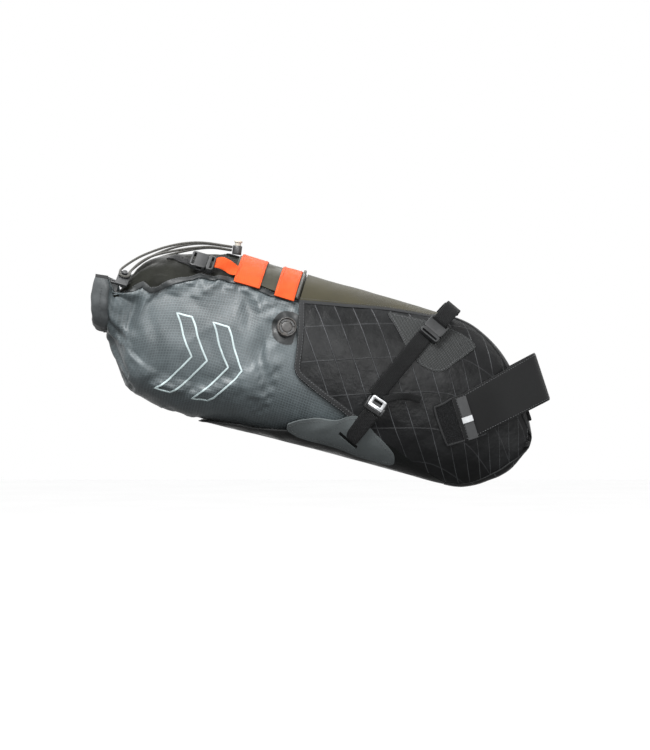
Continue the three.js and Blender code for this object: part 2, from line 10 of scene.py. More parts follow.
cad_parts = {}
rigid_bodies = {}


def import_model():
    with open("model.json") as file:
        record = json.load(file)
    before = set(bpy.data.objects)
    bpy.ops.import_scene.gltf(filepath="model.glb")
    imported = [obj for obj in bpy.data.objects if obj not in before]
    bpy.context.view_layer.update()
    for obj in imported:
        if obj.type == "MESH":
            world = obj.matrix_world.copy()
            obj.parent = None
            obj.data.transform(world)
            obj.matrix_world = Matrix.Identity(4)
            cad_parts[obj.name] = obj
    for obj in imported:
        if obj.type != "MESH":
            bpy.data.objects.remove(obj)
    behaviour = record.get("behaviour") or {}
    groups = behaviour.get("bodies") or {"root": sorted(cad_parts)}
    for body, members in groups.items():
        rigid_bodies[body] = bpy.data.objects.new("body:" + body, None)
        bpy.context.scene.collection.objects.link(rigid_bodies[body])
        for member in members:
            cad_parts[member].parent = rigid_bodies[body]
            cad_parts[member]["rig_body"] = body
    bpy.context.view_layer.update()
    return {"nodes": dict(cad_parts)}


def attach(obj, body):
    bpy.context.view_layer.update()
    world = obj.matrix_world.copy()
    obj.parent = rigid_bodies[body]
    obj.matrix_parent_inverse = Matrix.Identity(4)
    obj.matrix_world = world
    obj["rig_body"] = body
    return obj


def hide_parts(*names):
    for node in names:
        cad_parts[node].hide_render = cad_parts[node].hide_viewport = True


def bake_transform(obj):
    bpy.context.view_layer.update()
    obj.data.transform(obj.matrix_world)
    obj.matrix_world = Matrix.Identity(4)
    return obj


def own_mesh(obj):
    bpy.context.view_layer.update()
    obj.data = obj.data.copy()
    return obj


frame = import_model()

# The bag is drawn in its own frame, in millimetres: u along the bag towards its nose, y to the left and w up
# out of its top. BAG turns it nose-down and into the metres of the row frame.
BAG_TILT = math.radians(16)
POST_TILT = math.radians(18)
BAG = Matrix.Rotation(BAG_TILT, 4, "Y") @ Matrix.Scale(0.001, 4)
SIDES = {"right": -1, "left": 1}

# Place along the bag, height of its top, height of its bottom, half its width.
SECTIONS = [
    (-514, -8, -99, 64), (-502, 9, -115, 73), (-486, 20, -128, 80), (-465, 29, -143, 85),
    (-440, 37, -153.5, 88), (-400, 44.5, -156.5, 90), (-340, 45, -155, 90), (-300, 45, -153, 88),
    (-250, 45, -152, 83), (-200, 45, -150.5, 76), (-150, 44.5, -150, 68), (-94, 42, -149.5, 56),
    (-74, 35, -149, 50), (-49, 20, -146, 40.5), (-30, 2.5, -137, 32), (-19, -10.5, -129, 27.5),
    (-6, -30, -119, 22.5), (5.6, -47, -105, 18), (15, -65, -84, 13),
]
NOSE_TIP = [(17.2, -70, -79.5, 8.5), (18.2, -74.4, -75.4, 1.5)]
SQUARENESS = 2.4


# ---------- the bag's wall ----------
def hermite(table):
    """A monotone cubic through the rows of a table, as a function of its first column, for arrays."""
    x = np.array([r[0] for r in table], float)
    y = np.array([r[1:] for r in table], float)
    h = np.diff(x)[:, None]
    d = np.diff(y, axis=0) / h
    m = np.vstack([d[:1], (d[1:] + d[:-1]) / 2, d[-1:]])
    flat = np.vstack([np.zeros((1, y.shape[1]), bool), d[1:] * d[:-1] <= 0, np.zeros((1, y.shape[1]), bool)])
    m[flat] = 0

    def at(u):
        u = np.clip(np.asarray(u, float), x[0], x[-1])
        i = np.clip(np.searchsorted(x, u) - 1, 0, len(x) - 2)
        t = ((u - x[i]) / (x[i + 1] - x[i]))[..., None]
        hh = h[i]
        return (
            (2 * t**3 - 3 * t**2 + 1) * y[i] + (t**3 - 2 * t**2 + t) * hh * m[i]
            + (3 * t**2 - 2 * t**3) * y[i + 1] + (t**3 - t**2) * hh * m[i + 1]
        )

    return at


smooth_section = hermite(SECTIONS + NOSE_TIP)


def power(x):
    return np.sign(x) * np.abs(x) ** (2 / SQUARENESS)


def smoothstep(x, a, b):
    t = np.clip((np.asarray(x, float) - a) / (b - a), 0, 1)
    return t * t * (3 - 2 * t)


def wall(u, th, off=0.0):
    """Points on the wall, moved out by an offset. th is 0 at the top, negative to the right."""
    u, th, off = np.broadcast_arrays(np.asarray(u, float), np.asarray(th, float), np.asarray(off, float))
    top, bottom, half = np.moveaxis(smooth_section(u), -1, 0)
    push = 0.6 * off * smoothstep(u, -90, -20)
    y = (half + off) * power(np.sin(th))
    w = (top + bottom) / 2 + ((top - bottom) / 2 + off) * power(np.cos(th))
    return np.stack([u + push, y, w], -1)


def wall_normal(u, th):
    e = 0.5
    du = wall(np.asarray(u) + e, th) - wall(np.asarray(u) - e, th)
    dt = wall(u, np.asarray(th) + 0.01) - wall(u, np.asarray(th) - 0.01)
    n = np.cross(du, dt)
    n /= np.maximum(np.linalg.norm(n, axis=-1, keepdims=True), 1e-9)
    centre = wall(u, 0.0) * 0.5 + wall(u, math.pi) * 0.5
    n *= np.sign(np.sum(n * (wall(u, th) - centre), -1, keepdims=True) + 1e-12)
    return n


def side_angle(u, w, side, off=0.0):
    """The angle th of a point given by its place along the bag and its height, on a layer at an offset."""
    top, bottom, _ = smooth_section(float(u))
    c = max(-1.0, min(1.0, (w - (top + bottom) / 2) / ((top - bottom) / 2 + off)))
    return side * math.acos(math.copysign(abs(c) ** (SQUARENESS / 2), c))


def top_angle(u, y):
    _, _, half = smooth_section(float(u))
    s = max(-1.0, min(1.0, y / half))
    return math.asin(math.copysign(abs(s) ** (SQUARENESS / 2), s))


def bottom_angle(u, y):
    return math.pi - top_angle(u, y)


# Arc length round each section, so that woven patterns keep their size.
ARC_U = np.arange(-520, 21, 9.0)
ARC_T = np.linspace(0, math.pi, 91)
_ring = wall(ARC_U[:, None], ARC_T[None, :])
ARC = np.concatenate(
    [np.zeros((len(ARC_U), 1)), np.cumsum(np.linalg.norm(np.diff(_ring, axis=1), axis=-1), 1)], 1
)


def arc_length(u, th):
    i = np.clip((np.asarray(u, float) - ARC_U[0]) / 9.0, 0, len(ARC_U) - 1.001)
    j = np.clip(np.abs(th) / math.pi * 90, 0, 89.999)
    a, b = i.astype(int), j.astype(int)
    fi, fj = i - a, j - b
    s = (
        (ARC[a, b] * (1 - fi) + ARC[a + 1, b] * fi) * (1 - fj)
        + (ARC[a, b + 1] * (1 - fi) + ARC[a + 1, b + 1] * fi) * fj
    )
    return np.sign(th) * s


# ---------- meshes ----------
def mesh_object(name, verts, faces, cloth=None, smooth=True, sharp=40):
    """An object from points in the bag's frame. cloth is each point's place on its fabric, in millimetres."""
    mesh = bpy.data.meshes.new(name)
    mesh.from_pydata([tuple(v) for v in verts], [], [tuple(f) for f in faces])
    if cloth is not None:
        attribute = mesh.attributes.new("cloth", "FLOAT_VECTOR", "POINT")
        flat = np.zeros((len(verts), 3), np.float32)
        flat[:, : np.asarray(cloth).shape[1]] = np.asarray(cloth, np.float32) * 0.001
        attribute.data.foreach_set("vector", flat.ravel())
    obj = bpy.data.objects.new(name, mesh)
    bpy.context.scene.collection.objects.link(obj)
    mesh.transform(BAG)
    bm = bmesh.new()
    bm.from_mesh(mesh)
    bmesh.ops.recalc_face_normals(bm, faces=bm.faces)
    for f in bm.faces:
        f.smooth = smooth
    if smooth and sharp:
        limit = math.radians(sharp)
        for e in bm.edges:
            if len(e.link_faces) == 2 and e.calc_face_angle(0) > limit:
                e.smooth = False
    bm.to_mesh(mesh)
    bm.free()
    return obj


def place(obj, body, material, replaces=()):
    """Gives a piece its material, its body and the CAD nodes that it stands for."""
    obj.data.materials.clear()
    obj.data.materials.append(material)
    if body:
        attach(obj, body)
    if replaces:
        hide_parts(*replaces)
    return obj


def inside(p, polygon):
    x, y = p
    hit = False
    for (ax, ay), (bx, by) in zip(polygon, polygon[1:] + polygon[:1]):
        if (ay > y) != (by > y) and x < (bx - ax) * (y - ay) / (by - ay) + ax:
            hit = not hit
    return hit


def densify(points, step, closed=True):
    out = []
    ends = points[1:] + points[:1] if closed else points[1:]
    for a, b in zip(points, ends):
        n = max(1, round(math.dist(a, b) / step))
        out += [tuple(a[k] + (b[k] - a[k]) * i / n for k in range(len(a))) for i in range(n)]
    if not closed:
        out.append(tuple(points[-1]))
    return out


def round_corners(points, radius, segments=5):
    """Rounds the corners of a closed outline, with a radius that may differ for each point."""
    out = []
    n = len(points)
    for i, p in enumerate(points):
        r = radius[i] if isinstance(radius, (list, tuple)) else radius
        a, p, b = Vector(points[i - 1]), Vector(p), Vector(points[(i + 1) % n])
        if r <= 0:
            out.append(tuple(p))
            continue
        cut = min(r, (a - p).length * 0.45, (b - p).length * 0.45)
        s, e = p + (a - p).normalized() * cut, p + (b - p).normalized() * cut
        for k in range(segments + 1):
            t = k / segments
            out.append(tuple((1 - t) ** 2 * s + 2 * t * (1 - t) * p + t * t * e))
    return out


def fill_outline(outline, holes, step):
    """Triangles over a flat outline with holes, with inner points on a grid. Returns points and triangles."""
    loops = [densify(outline, step)] + [densify(h, step) for h in holes]
    points, edges = [], []
    for loop in loops:
        start = len(points)
        points += loop
        edges += [(start + i, start + (i + 1) % len(loop)) for i in range(len(loop))]
    rim = len(points)
    xs, ys = [p[0] for p in loops[0]], [p[1] for p in loops[0]]
    near = np.array(points)
    row = 0
    y = min(ys) + step * 0.5
    while y < max(ys):
        x = min(xs) + step * (0.5 + 0.5 * (row % 2))
        while x < max(xs):
            if inside((x, y), loops[0]) and not any(inside((x, y), h) for h in loops[1:]):
                if np.min(np.hypot(near[:rim, 0] - x, near[:rim, 1] - y)) > step * 0.55:
                    points.append((x, y))
            x += step
        y += step * 0.866
        row += 1
    out = geometry.delaunay_2d_cdt([Vector(p) for p in points], edges, [], 0, 1e-5)
    pts = [tuple(p) for p in out[0]]
    tris = []
    for f in out[2]:
        c = (sum(pts[i][0] for i in f) / 3, sum(pts[i][1] for i in f) / 3)
        if inside(c, loops[0]) and not any(inside(c, h) for h in loops[1:]):
            tris.append(tuple(f))
    return pts, tris


def thick_shell(top, bottom, tris):
    """Closes two layers of the same triangles into one solid."""
    n = len(top)
    count = {}
    for f in tris:
        for a, b in zip(f, f[1:] + f[:1]):
            count[(a, b)] = count.get((a, b), 0) + 1
    rim = [(a, b) for (a, b) in count if (b, a) not in count]
    faces = list(tris) + [tuple(n + i for i in reversed(f)) for f in tris]
    faces += [(b, a, n + a, n + b) for a, b in rim]
    return np.vstack([top, bottom]), faces


RADIUS = 85.0


def patch(name, outline, layer, step=4.0, holes=(), detail=None):
    """A sheet on the bag's wall, from an outline in u and th. detail(u, th) adds to its outer face."""
    flat = [(u, th * RADIUS) for u, th in outline]
    cuts = [[(u, th * RADIUS) for u, th in h] for h in holes]
    pts, tris = fill_outline(flat, cuts, step)
    u = np.array([p[0] for p in pts])
    th = np.array([p[1] for p in pts]) / RADIUS
    extra = np.array([detail(a, b) for a, b in zip(u, th)]) if detail else 0.0
    top = wall(u, th, layer[1] + extra)
    bottom = wall(u, th, layer[0] + np.minimum(extra, 0) * 0.8)
    verts, faces = thick_shell(top, bottom, tris)
    cloth = np.stack([u, arc_length(u, th)], -1)
    return mesh_object(name, verts, faces, np.vstack([cloth, cloth]))


def frames_on_wall(path, off, step=4.0):
    """Frames along a path of (u, th) on the wall: origin, direction across, outward normal, distance."""
    dense = densify([(u, t * RADIUS) for u, t in path], step, closed=False)
    u = np.array([p[0] for p in dense])
    th = np.array([p[1] for p in dense]) / RADIUS
    o = wall(u, th, off)
    n = wall_normal(u, th)
    t = np.gradient(o, axis=0)
    t /= np.linalg.norm(t, axis=1, keepdims=True)
    across = np.cross(t, n)
    across /= np.linalg.norm(across, axis=1, keepdims=True)
    n = np.cross(across, t)
    s = np.concatenate([[0], np.cumsum(np.linalg.norm(np.diff(o, axis=0), axis=1))])
    return [(Vector(a), Vector(b), Vector(c), d) for a, b, c, d in zip(o, across, n, s)]


def smooth_curve(points, step):
    """Points a step apart along a Catmull-Rom curve."""
    pts = [Vector(p) for p in points]
    pts = [pts[0] * 2 - pts[1], *pts, pts[-1] * 2 - pts[-2]]
    fine = []
    for a, b, c, d in zip(pts, pts[1:], pts[2:], pts[3:]):
        for k in range(24):
            t = k / 24
            fine.append(0.5 * (
                (2 * b) + (c - a) * t + (2 * a - 5 * b + 4 * c - d) * t * t + (3 * b - a - 3 * c + d) * t**3
            ))
    fine.append(pts[-2])
    out = [fine[0]]
    run = 0.0
    total = sum((q - p).length for p, q in zip(fine, fine[1:]))
    n = max(2, round(total / step))
    want = total / n
    for p, q in zip(fine, fine[1:]):
        length = (q - p).length
        while run + length >= want * len(out) - 1e-9 and len(out) < n:
            out.append(p.lerp(q, (want * len(out) - run) / max(length, 1e-9)))
        run += length
    out.append(fine[-1])
    return out


def band_section(width, thick, segments=3):
    """A flat section with round edges, as points (across, out), from its back face round to its front."""
    r = thick / 2
    pts = []
    half = width / 2 - r
    cols = max(2, round(width / 3))
    for i in range(cols + 1):
        pts.append((-half + 2 * half * i / cols, r))
    for k in range(1, segments + 1):
        a = math.pi / 2 - math.pi * k / (segments + 1)
        pts.append((half + r * math.cos(a), r * math.sin(a)))
    for i in range(cols + 1):
        pts.append((half - 2 * half * i / cols, -r))
    for k in range(1, segments + 1):
        a = -math.pi / 2 - math.pi * k / (segments + 1)
        pts.append((-half + r * math.cos(a), r * math.sin(a)))
    return pts


def sweep(name, frames, section, closed=False, relief=None, scale=None, sharp=50):
    """A section carried along frames. relief(distance, across) lifts points along the normal."""
    verts, faces, cloth = [], [], []
    m = len(section)
    for k, (o, across, n, s) in enumerate(frames):
        f = scale(k / (len(frames) - 1)) if scale else 1.0
        for a, b in section:
            lift = relief(s, a) if relief and b > 0 else 0.0
            verts.append(o + across * (a * f) + n * (b + lift))
            cloth.append((s, a + (0 if b > 0 else 400)))
    rings = len(frames)
    for i in range(rings if closed else rings - 1):
        for j in range(m):
            a, b = i * m + j, i * m + (j + 1) % m
            c, d = ((i + 1) % rings) * m + (j + 1) % m, ((i + 1) % rings) * m + j
            faces.append((a, b, c, d))
    if not closed:
        faces.append(tuple(range(m - 1, -1, -1)))
        faces.append(tuple((rings - 1) * m + j for j in range(m)))
    return mesh_object(name, verts, faces, cloth, sharp=sharp)


def strap_on_wall(name, path, width, thick, off, step=4.0, relief=None):
    return sweep(name, frames_on_wall(path, off + thick / 2, step), band_section(width, thick), relief=relief)


def tube(name, points, radius, step=2.5, sides=10):
    ring = [
        (radius * math.cos(2 * math.pi * k / sides), radius * math.sin(2 * math.pi * k / sides))
        for k in range(sides)
    ]
    curve = smooth_curve(points, step)
    verts, faces, cloth = [], [], []
    n = (curve[1] - curve[0]).orthogonal().normalized()
    s = 0.0
    for i, p in enumerate(curve):
        t = (curve[min(i + 1, len(curve) - 1)] - curve[max(i - 1, 0)]).normalized()
        n = (n - t * n.dot(t)).normalized()
        b = t.cross(n)
        if i:
            s += (p - curve[i - 1]).length
        for k, (x, y) in enumerate(ring):
            verts.append(p + n * x + b * y)
            cloth.append((s, 2 * math.pi * radius * k / sides))
    rings = len(curve)
    for i in range(rings - 1):
        row = i * sides
        for j in range(sides):
            k = (j + 1) % sides
            faces.append((row + j, row + k, row + sides + k, row + sides + j))
    faces.append(tuple(range(sides - 1, -1, -1)))
    faces.append(tuple((rings - 1) * sides + j for j in range(sides)))
    return mesh_object(name, verts, faces, cloth, sharp=60), curve


def stitch_mesh(name, runs, length=2.6, gap=1.1, radius=0.32):
    """Rows of sewn thread. Each run is a list of (point, normal) pairs in the bag's frame, in order."""
    verts, faces = [], []
    for run in runs:
        pts = [Vector(p) for p, _ in run]
        dist = [0.0]
        for a, b in zip(pts, pts[1:]):
            dist.append(dist[-1] + (b - a).length)
        at = gap
        while at + length < dist[-1]:
            ends = []
            for d in (at, at + length / 2, at + length):
                i = max(j for j in range(len(dist)) if dist[j] <= d)
                i = min(i, len(pts) - 2)
                f = (d - dist[i]) / max(dist[i + 1] - dist[i], 1e-9)
                ends.append((pts[i].lerp(pts[i + 1], f), Vector(run[i][1])))
            add_stitch(verts, faces, ends, radius)
            at += length + gap
    return mesh_object(name, verts, faces, None, sharp=0)


def add_stitch(verts, faces, ends, radius):
    (a, n), (m, _), (b, _) = ends
    t = (b - a).normalized()
    side = t.cross(n).normalized()
    base = len(verts)
    spots = [
        (a, 0.0, -0.25), (a.lerp(m, 0.35), 1.0, 0.15), (m, 1.1, 0.3), (b.lerp(m, 0.35), 1.0, 0.15),
        (b, 0.0, -0.25)
    ]
    verts.append(a + n * (radius * -0.4))
    for p, r, up in spots[1:4]:
        for k in range(6):
            c = 2 * math.pi * k / 6
            verts.append(p + side * (radius * r * math.cos(c)) + n * (radius * (up + 0.9 * r * math.sin(c))))
    verts.append(b + n * (radius * -0.4))
    for k in range(6):
        j = (k + 1) % 6
        faces.append((base, base + 1 + j, base + 1 + k))
        for ring in range(2):
            r0, r1 = base + 1 + ring * 6, base + 1 + (ring + 1) * 6
            faces.append((r0 + k, r0 + j, r1 + j, r1 + k))
        faces.append((base + 13 + k, base + 13 + j, base + 19))


def wall_run(path, off, step=3.0):
    return [(o, n) for o, _, n, _ in frames_on_wall(path, off, step)]


def offset_outline(points, distance):
    """Moves a closed outline inwards by a distance, roughly."""
    area = sum(a[0] * b[1] - b[0] * a[1] for a, b in zip(points, points[1:] + points[:1]))
    sign = 1 if area > 0 else -1
    out = []
    n = len(points)
    for i in range(n):
        a, p, b = Vector(points[i - 1]), Vector(points[i]), Vector(points[(i + 1) % n])
        d1, d2 = (p - a).normalized(), (b - p).normalized()
        n1, n2 = Vector((-d1.y, d1.x)), Vector((-d2.y, d2.x))
        m = (n1 + n2)
        m = m / max(m.dot(n1), 0.3) if m.length > 1e-6 else n1
        out.append(tuple(p + m * (distance * sign)))
    return out


# ---------- materials ----------
class Shader:
    """A small helper for building one procedural material, node by node."""

    def __init__(
        self, name, colour, roughness, metallic=0.0, specular=0.5, sheen=0.0, coat=0.0, coat_roughness=0.2
    ):
        self.material = bpy.data.materials.new(name)
        self.material.use_nodes = True
        self.tree = self.material.node_tree
        self.shader = self.tree.nodes["Principled BSDF"]
        self.shader.inputs["Base Color"].default_value = (*colour, 1)
        self.shader.inputs["Roughness"].default_value = roughness
        self.shader.inputs["Metallic"].default_value = metallic
        self.shader.inputs["Specular IOR Level"].default_value = specular
        self.shader.inputs["Sheen Weight"].default_value = sheen
        self.shader.inputs["Sheen Roughness"].default_value = 0.4
        self.shader.inputs["Coat Weight"].default_value = coat
        self.shader.inputs["Coat Roughness"].default_value = coat_roughness
        self.material.diffuse_color = (*colour, 1)

    def add(self, kind, inputs=(), **settings):
        node = self.tree.nodes.new(kind)
        for key, value in settings.items():
            setattr(node, key, value)
        for key, value in dict(inputs).items():
            if isinstance(value, bpy.types.NodeSocket):
                self.tree.links.new(value, node.inputs[key])
            else:
                node.inputs[key].default_value = value
        return node

    def op(self, operation, *args, clamp=False):
        node = self.add("ShaderNodeMath", operation=operation, use_clamp=clamp)
        for i, value in enumerate(args):
            if isinstance(value, bpy.types.NodeSocket):
                self.tree.links.new(value, node.inputs[i])
            else:
                node.inputs[i].default_value = value
        return node.outputs[0]

    def cloth(self):
        """The place on the piece's own fabric: along, across, in metres."""
        at = self.add("ShaderNodeAttribute", attribute_name="cloth").outputs["Vector"]
        split = self.add("ShaderNodeSeparateXYZ", {"Vector": at})
        return split.outputs["X"], split.outputs["Y"]

    def place(self):
        return self.add("ShaderNodeTexCoord").outputs["Object"]

    def noise(self, scale, detail=3.0, roughness=0.5, stretch=None):
        at = self.place()
        if stretch:
            at = self.add("ShaderNodeMapping", {"Vector": at, "Scale": stretch}).outputs["Vector"]
        node = self.add(
            "ShaderNodeTexNoise", {"Vector": at, "Scale": scale, "Detail": detail, "Roughness": roughness}
        )
        return node.outputs["Fac"]

    def wave(self, along, pitch, shift=0.0):
        """A sine wave from -1 to 1 along a length in metres."""
        return self.op("SINE", self.op("ADD", self.op("MULTIPLY", along, 2 * math.pi / pitch), shift))

    def line(self, along, pitch, width, softness=0.35, shift=0.0):
        """Thin lines, 1 on the line and 0 between them."""
        turn = self.op("FRACT", self.op("ADD", self.op("MULTIPLY", along, 1 / pitch), 0.5 + shift))
        off = self.op("MULTIPLY", self.op("ABSOLUTE", self.op("SUBTRACT", turn, 0.5)), pitch)
        return self.range(off, width * (0.5 + softness), width * 0.5 * (1 - softness))

    def range(self, value, low, high, to_low=0.0, to_high=1.0, smooth=True):
        kind = "SMOOTHSTEP" if smooth else "LINEAR"
        node = self.add("ShaderNodeMapRange", interpolation_type=kind)
        for key, v in {
            "Value": value, "From Min": low, "From Max": high, "To Min": to_low, "To Max": to_high
        }.items():
            if isinstance(v, bpy.types.NodeSocket):
                self.tree.links.new(v, node.inputs[key])
            else:
                node.inputs[key].default_value = v
        return node.outputs["Result"]

    def mix(self, fac, a, b):
        node = self.add("ShaderNodeMix", data_type="RGBA")
        for socket, value in ((node.inputs[0], fac), (node.inputs[6], a), (node.inputs[7], b)):
            if isinstance(value, bpy.types.NodeSocket):
                self.tree.links.new(value, socket)
            elif isinstance(value, tuple):
                socket.default_value = (*value, 1)
            else:
                socket.default_value = value
        return node.outputs[2]

    def colour(self, socket):
        self.tree.links.new(socket, self.shader.inputs["Base Color"])

    def roughness(self, socket):
        self.tree.links.new(socket, self.shader.inputs["Roughness"])

    def bump(self, *layers):
        """Stacks bumps. Each layer is (height, strength, distance in metres)."""
        normal = None
        for height, strength, distance in layers:
            inputs = {"Height": height, "Strength": strength, "Distance": distance}
            if normal is not None:
                inputs["Normal"] = normal
            normal = self.add("ShaderNodeBump", inputs).outputs["Normal"]
        self.tree.links.new(normal, self.shader.inputs["Normal"])


def shade(colour, factor):
    return tuple(min(1.0, c * factor) for c in colour)


def woven(name, colour, roughness, pitch, strength=0.35, sheen=0.0, variation=0.25, specular=0.4):
    """Plain cloth: a fine over-and-under weave, with slow changes of tone."""
    s = Shader(name, colour, roughness, specular=specular, sheen=sheen)
    x, y = s.cloth()
    weave = s.op("MULTIPLY", s.wave(x, pitch), s.wave(y, pitch))
    tone = s.noise(28, 4)
    fine = s.noise(900, 2)
    level = s.op("ADD", s.op("MULTIPLY", tone, 0.8), s.op("MULTIPLY", weave, 0.14))
    s.colour(s.mix(s.range(level, 0.15, 0.65), shade(colour, 1 - variation), shade(colour, 1 + variation)))
    s.roughness(s.range(tone, 0.3, 0.7, roughness - 0.06, roughness + 0.08))
    s.bump((weave, strength, 0.0003), (fine, 0.2, 0.0002))
    return s.material


def ripstop_fabric(name, colour):
    """Coated ripstop: heavier threads every few millimetres both ways, over fine cloth with a soft gloss."""
    s = Shader(name, colour, 0.40, specular=0.42, sheen=0.06)
    x, y = s.cloth()
    grid = s.op("MAXIMUM", s.line(x, 0.0034, 0.0008), s.line(y, 0.0034, 0.0008))
    weave = s.op("MULTIPLY", s.wave(x, 0.0009), s.wave(y, 0.0009))
    tone = s.noise(14, 5, 0.6)
    blotch = s.noise(70, 4, 0.6)
    base = s.mix(s.range(tone, 0.35, 0.68), shade(colour, 0.72), shade(colour, 1.35))
    worn = s.mix(s.op("MULTIPLY", s.range(blotch, 0.5, 0.8), 0.45), base, shade(colour, 1.7))
    s.colour(s.mix(s.op("MULTIPLY", grid, 0.5), worn, shade(colour, 2.1)))
    s.roughness(s.range(blotch, 0.25, 0.75, 0.36, 0.52))
    s.bump((grid, 0.35, 0.00025), (weave, 0.2, 0.0002), (s.noise(180, 3), 0.25, 0.0007))
    return s.material


def laminate_fabric(name, colour):
    """Sailcloth laminate: a black film face, with crossed yarns showing through as thin pale ridges."""
    s = Shader(name, colour, 0.38, specular=0.15)
    x, y = s.cloth()
    wobble = s.op("MULTIPLY", s.op("SUBTRACT", s.noise(22, 2), 0.5), 0.0022)

    def yarns(angle, pitch, shift):
        c, k = math.cos(math.radians(angle)), math.sin(math.radians(angle))
        along = s.op("ADD", s.op("ADD", s.op("MULTIPLY", x, c), s.op("MULTIPLY", y, k)), wobble)
        return s.line(along, pitch, 0.00085, 0.6, shift)

    cross = s.op("MAXIMUM", yarns(38, 0.0225, 0.1), s.op("MULTIPLY", yarns(-66, 0.040, 0.3), 0.4))
    patchy = s.range(s.noise(30, 3), 0.3, 0.62)
    tone = s.noise(16, 4, 0.6)
    base = s.mix(s.range(tone, 0.35, 0.7), shade(colour, 0.7), shade(colour, 1.5))
    shown = s.op("MULTIPLY", cross, s.op("ADD", 0.35, s.op("MULTIPLY", patchy, 0.65)))
    s.colour(s.mix(s.op("MULTIPLY", shown, 0.55), base, (0.075, 0.078, 0.082)))
    s.roughness(s.range(s.noise(60, 4), 0.3, 0.7, 0.3, 0.46))
    weave = s.op("MULTIPLY", s.wave(x, 0.0011), s.wave(y, 0.0011))
    s.bump((cross, 0.9, 0.0006), (s.noise(38, 4, 0.6), 0.55, 0.004), (weave, 0.12, 0.0002))
    return s.material


def ballistic_fabric(name, colour, dot):
    """Coarse ballistic weave: staggered raised dots on a darker ground."""
    s = Shader(name, colour, 0.6, specular=0.14)
    x, y = s.cloth()
    a, b = s.op("ADD", x, y), s.op("SUBTRACT", x, y)
    dots = s.range(s.op("MULTIPLY", s.wave(a, 0.0034), s.wave(b, 0.0034)), 0.05, 0.7)
    s.colour(s.mix(dots, colour, dot))
    s.bump((dots, 0.6, 0.0006), (s.noise(60, 3), 0.3, 0.002))
    return s.material


def webbing(name, colour, roughness=0.62, edge=0.75):
    """Flat webbing: ribs across it, a herringbone twill down it, and slow changes of tone."""
    s = Shader(name, colour, roughness, specular=0.08, sheen=0.04)
    x, y = s.cloth()
    ribs = s.wave(x, 0.0016)
    twill = s.wave(s.op("ADD", x, s.op("MULTIPLY", s.op("ABSOLUTE", y), 0.8)), 0.0021)
    tone = s.noise(60, 4, 0.6)
    level = s.op("ADD", s.op("MULTIPLY", tone, 0.7), s.op("MULTIPLY", twill, 0.12))
    s.colour(s.mix(s.range(level, 0.15, 0.6), shade(colour, edge), shade(colour, 1.2)))
    s.bump((ribs, 0.5, 0.0004), (twill, 0.4, 0.0003), (s.noise(700, 2), 0.2, 0.0002))
    return s.material


def fleece(name, colour, scale=900, depth=0.0012):
    """A matted pile, as on the loop half of a hook-and-loop fastener."""
    s = Shader(name, colour, 0.9, specular=0.1, sheen=0.1)
    curl = s.noise(scale, 4, 0.8)
    mat = s.noise(120, 4, 0.7)
    s.colour(s.mix(s.range(curl, 0.42, 0.68), shade(colour, 0.4), shade(colour, 3.2)))
    s.bump((mat, 0.8, 0.002), (curl, 1.0, depth))
    return s.material


def plastic(name, colour, roughness, sheen_colour=None):
    """Moulded plastic: a faint spark-eroded grain, with handling marks that change its gloss."""
    s = Shader(name, colour, roughness, specular=0.5)
    tone = s.noise(45, 4, 0.6)
    s.colour(s.mix(s.range(tone, 0.35, 0.7), colour, sheen_colour or shade(colour, 1.6)))
    s.roughness(s.range(s.noise(140, 4, 0.65), 0.3, 0.75, roughness - 0.08, roughness + 0.12))
    s.bump((s.noise(1600, 2), 0.12, 0.0002), (s.noise(90, 3), 0.06, 0.0008))
    return s.material


def metal(name, colour, roughness):
    """Cast and tumbled metal, with fine brushing and a few dull patches."""
    s = Shader(name, colour, roughness, metallic=1.0)
    brushed = s.noise(260, 4, 0.6, (1, 1, 14))
    s.colour(s.mix(s.range(s.noise(70, 4), 0.35, 0.75), colour, shade(colour, 0.72)))
    s.roughness(s.range(brushed, 0.3, 0.7, roughness - 0.1, roughness + 0.14))
    s.bump((brushed, 0.1, 0.0002))
    return s.material


def braid(name, colour, fleck):
    """A braided cord sheath: two sets of strands crossing at an angle."""
    s = Shader(name, colour, 0.7, specular=0.3, sheen=0.2)
    x, y = s.cloth()
    one = s.wave(s.op("ADD", x, s.op("MULTIPLY", y, 1.2)), 0.0021)
    two = s.wave(s.op("SUBTRACT", x, s.op("MULTIPLY", y, 1.2)), 0.0021)
    strands = s.op("MAXIMUM", one, two)
    s.colour(s.mix(s.range(strands, -0.2, 1.0), shade(colour, 0.5), fleck))
    s.bump((strands, 0.7, 0.0004))
    return s.material


def smooth_sheet(name, colour, roughness, coat=0.0, crease=0.4, specular=0.4):
    """Coated sheet or rubber: smooth, with soft creases and a change of gloss from place to place."""
    s = Shader(name, colour, roughness, specular=specular, coat=coat)
    tone = s.noise(18, 5, 0.6)
    s.colour(s.mix(s.range(tone, 0.35, 0.7), shade(colour, 0.75), shade(colour, 1.4)))
    s.roughness(s.range(s.noise(50, 4), 0.3, 0.7, roughness - 0.07, roughness + 0.12))
    s.bump((s.noise(40, 4, 0.6), crease, 0.003), (s.noise(1300, 2), 0.15, 0.0002))
    return s.material


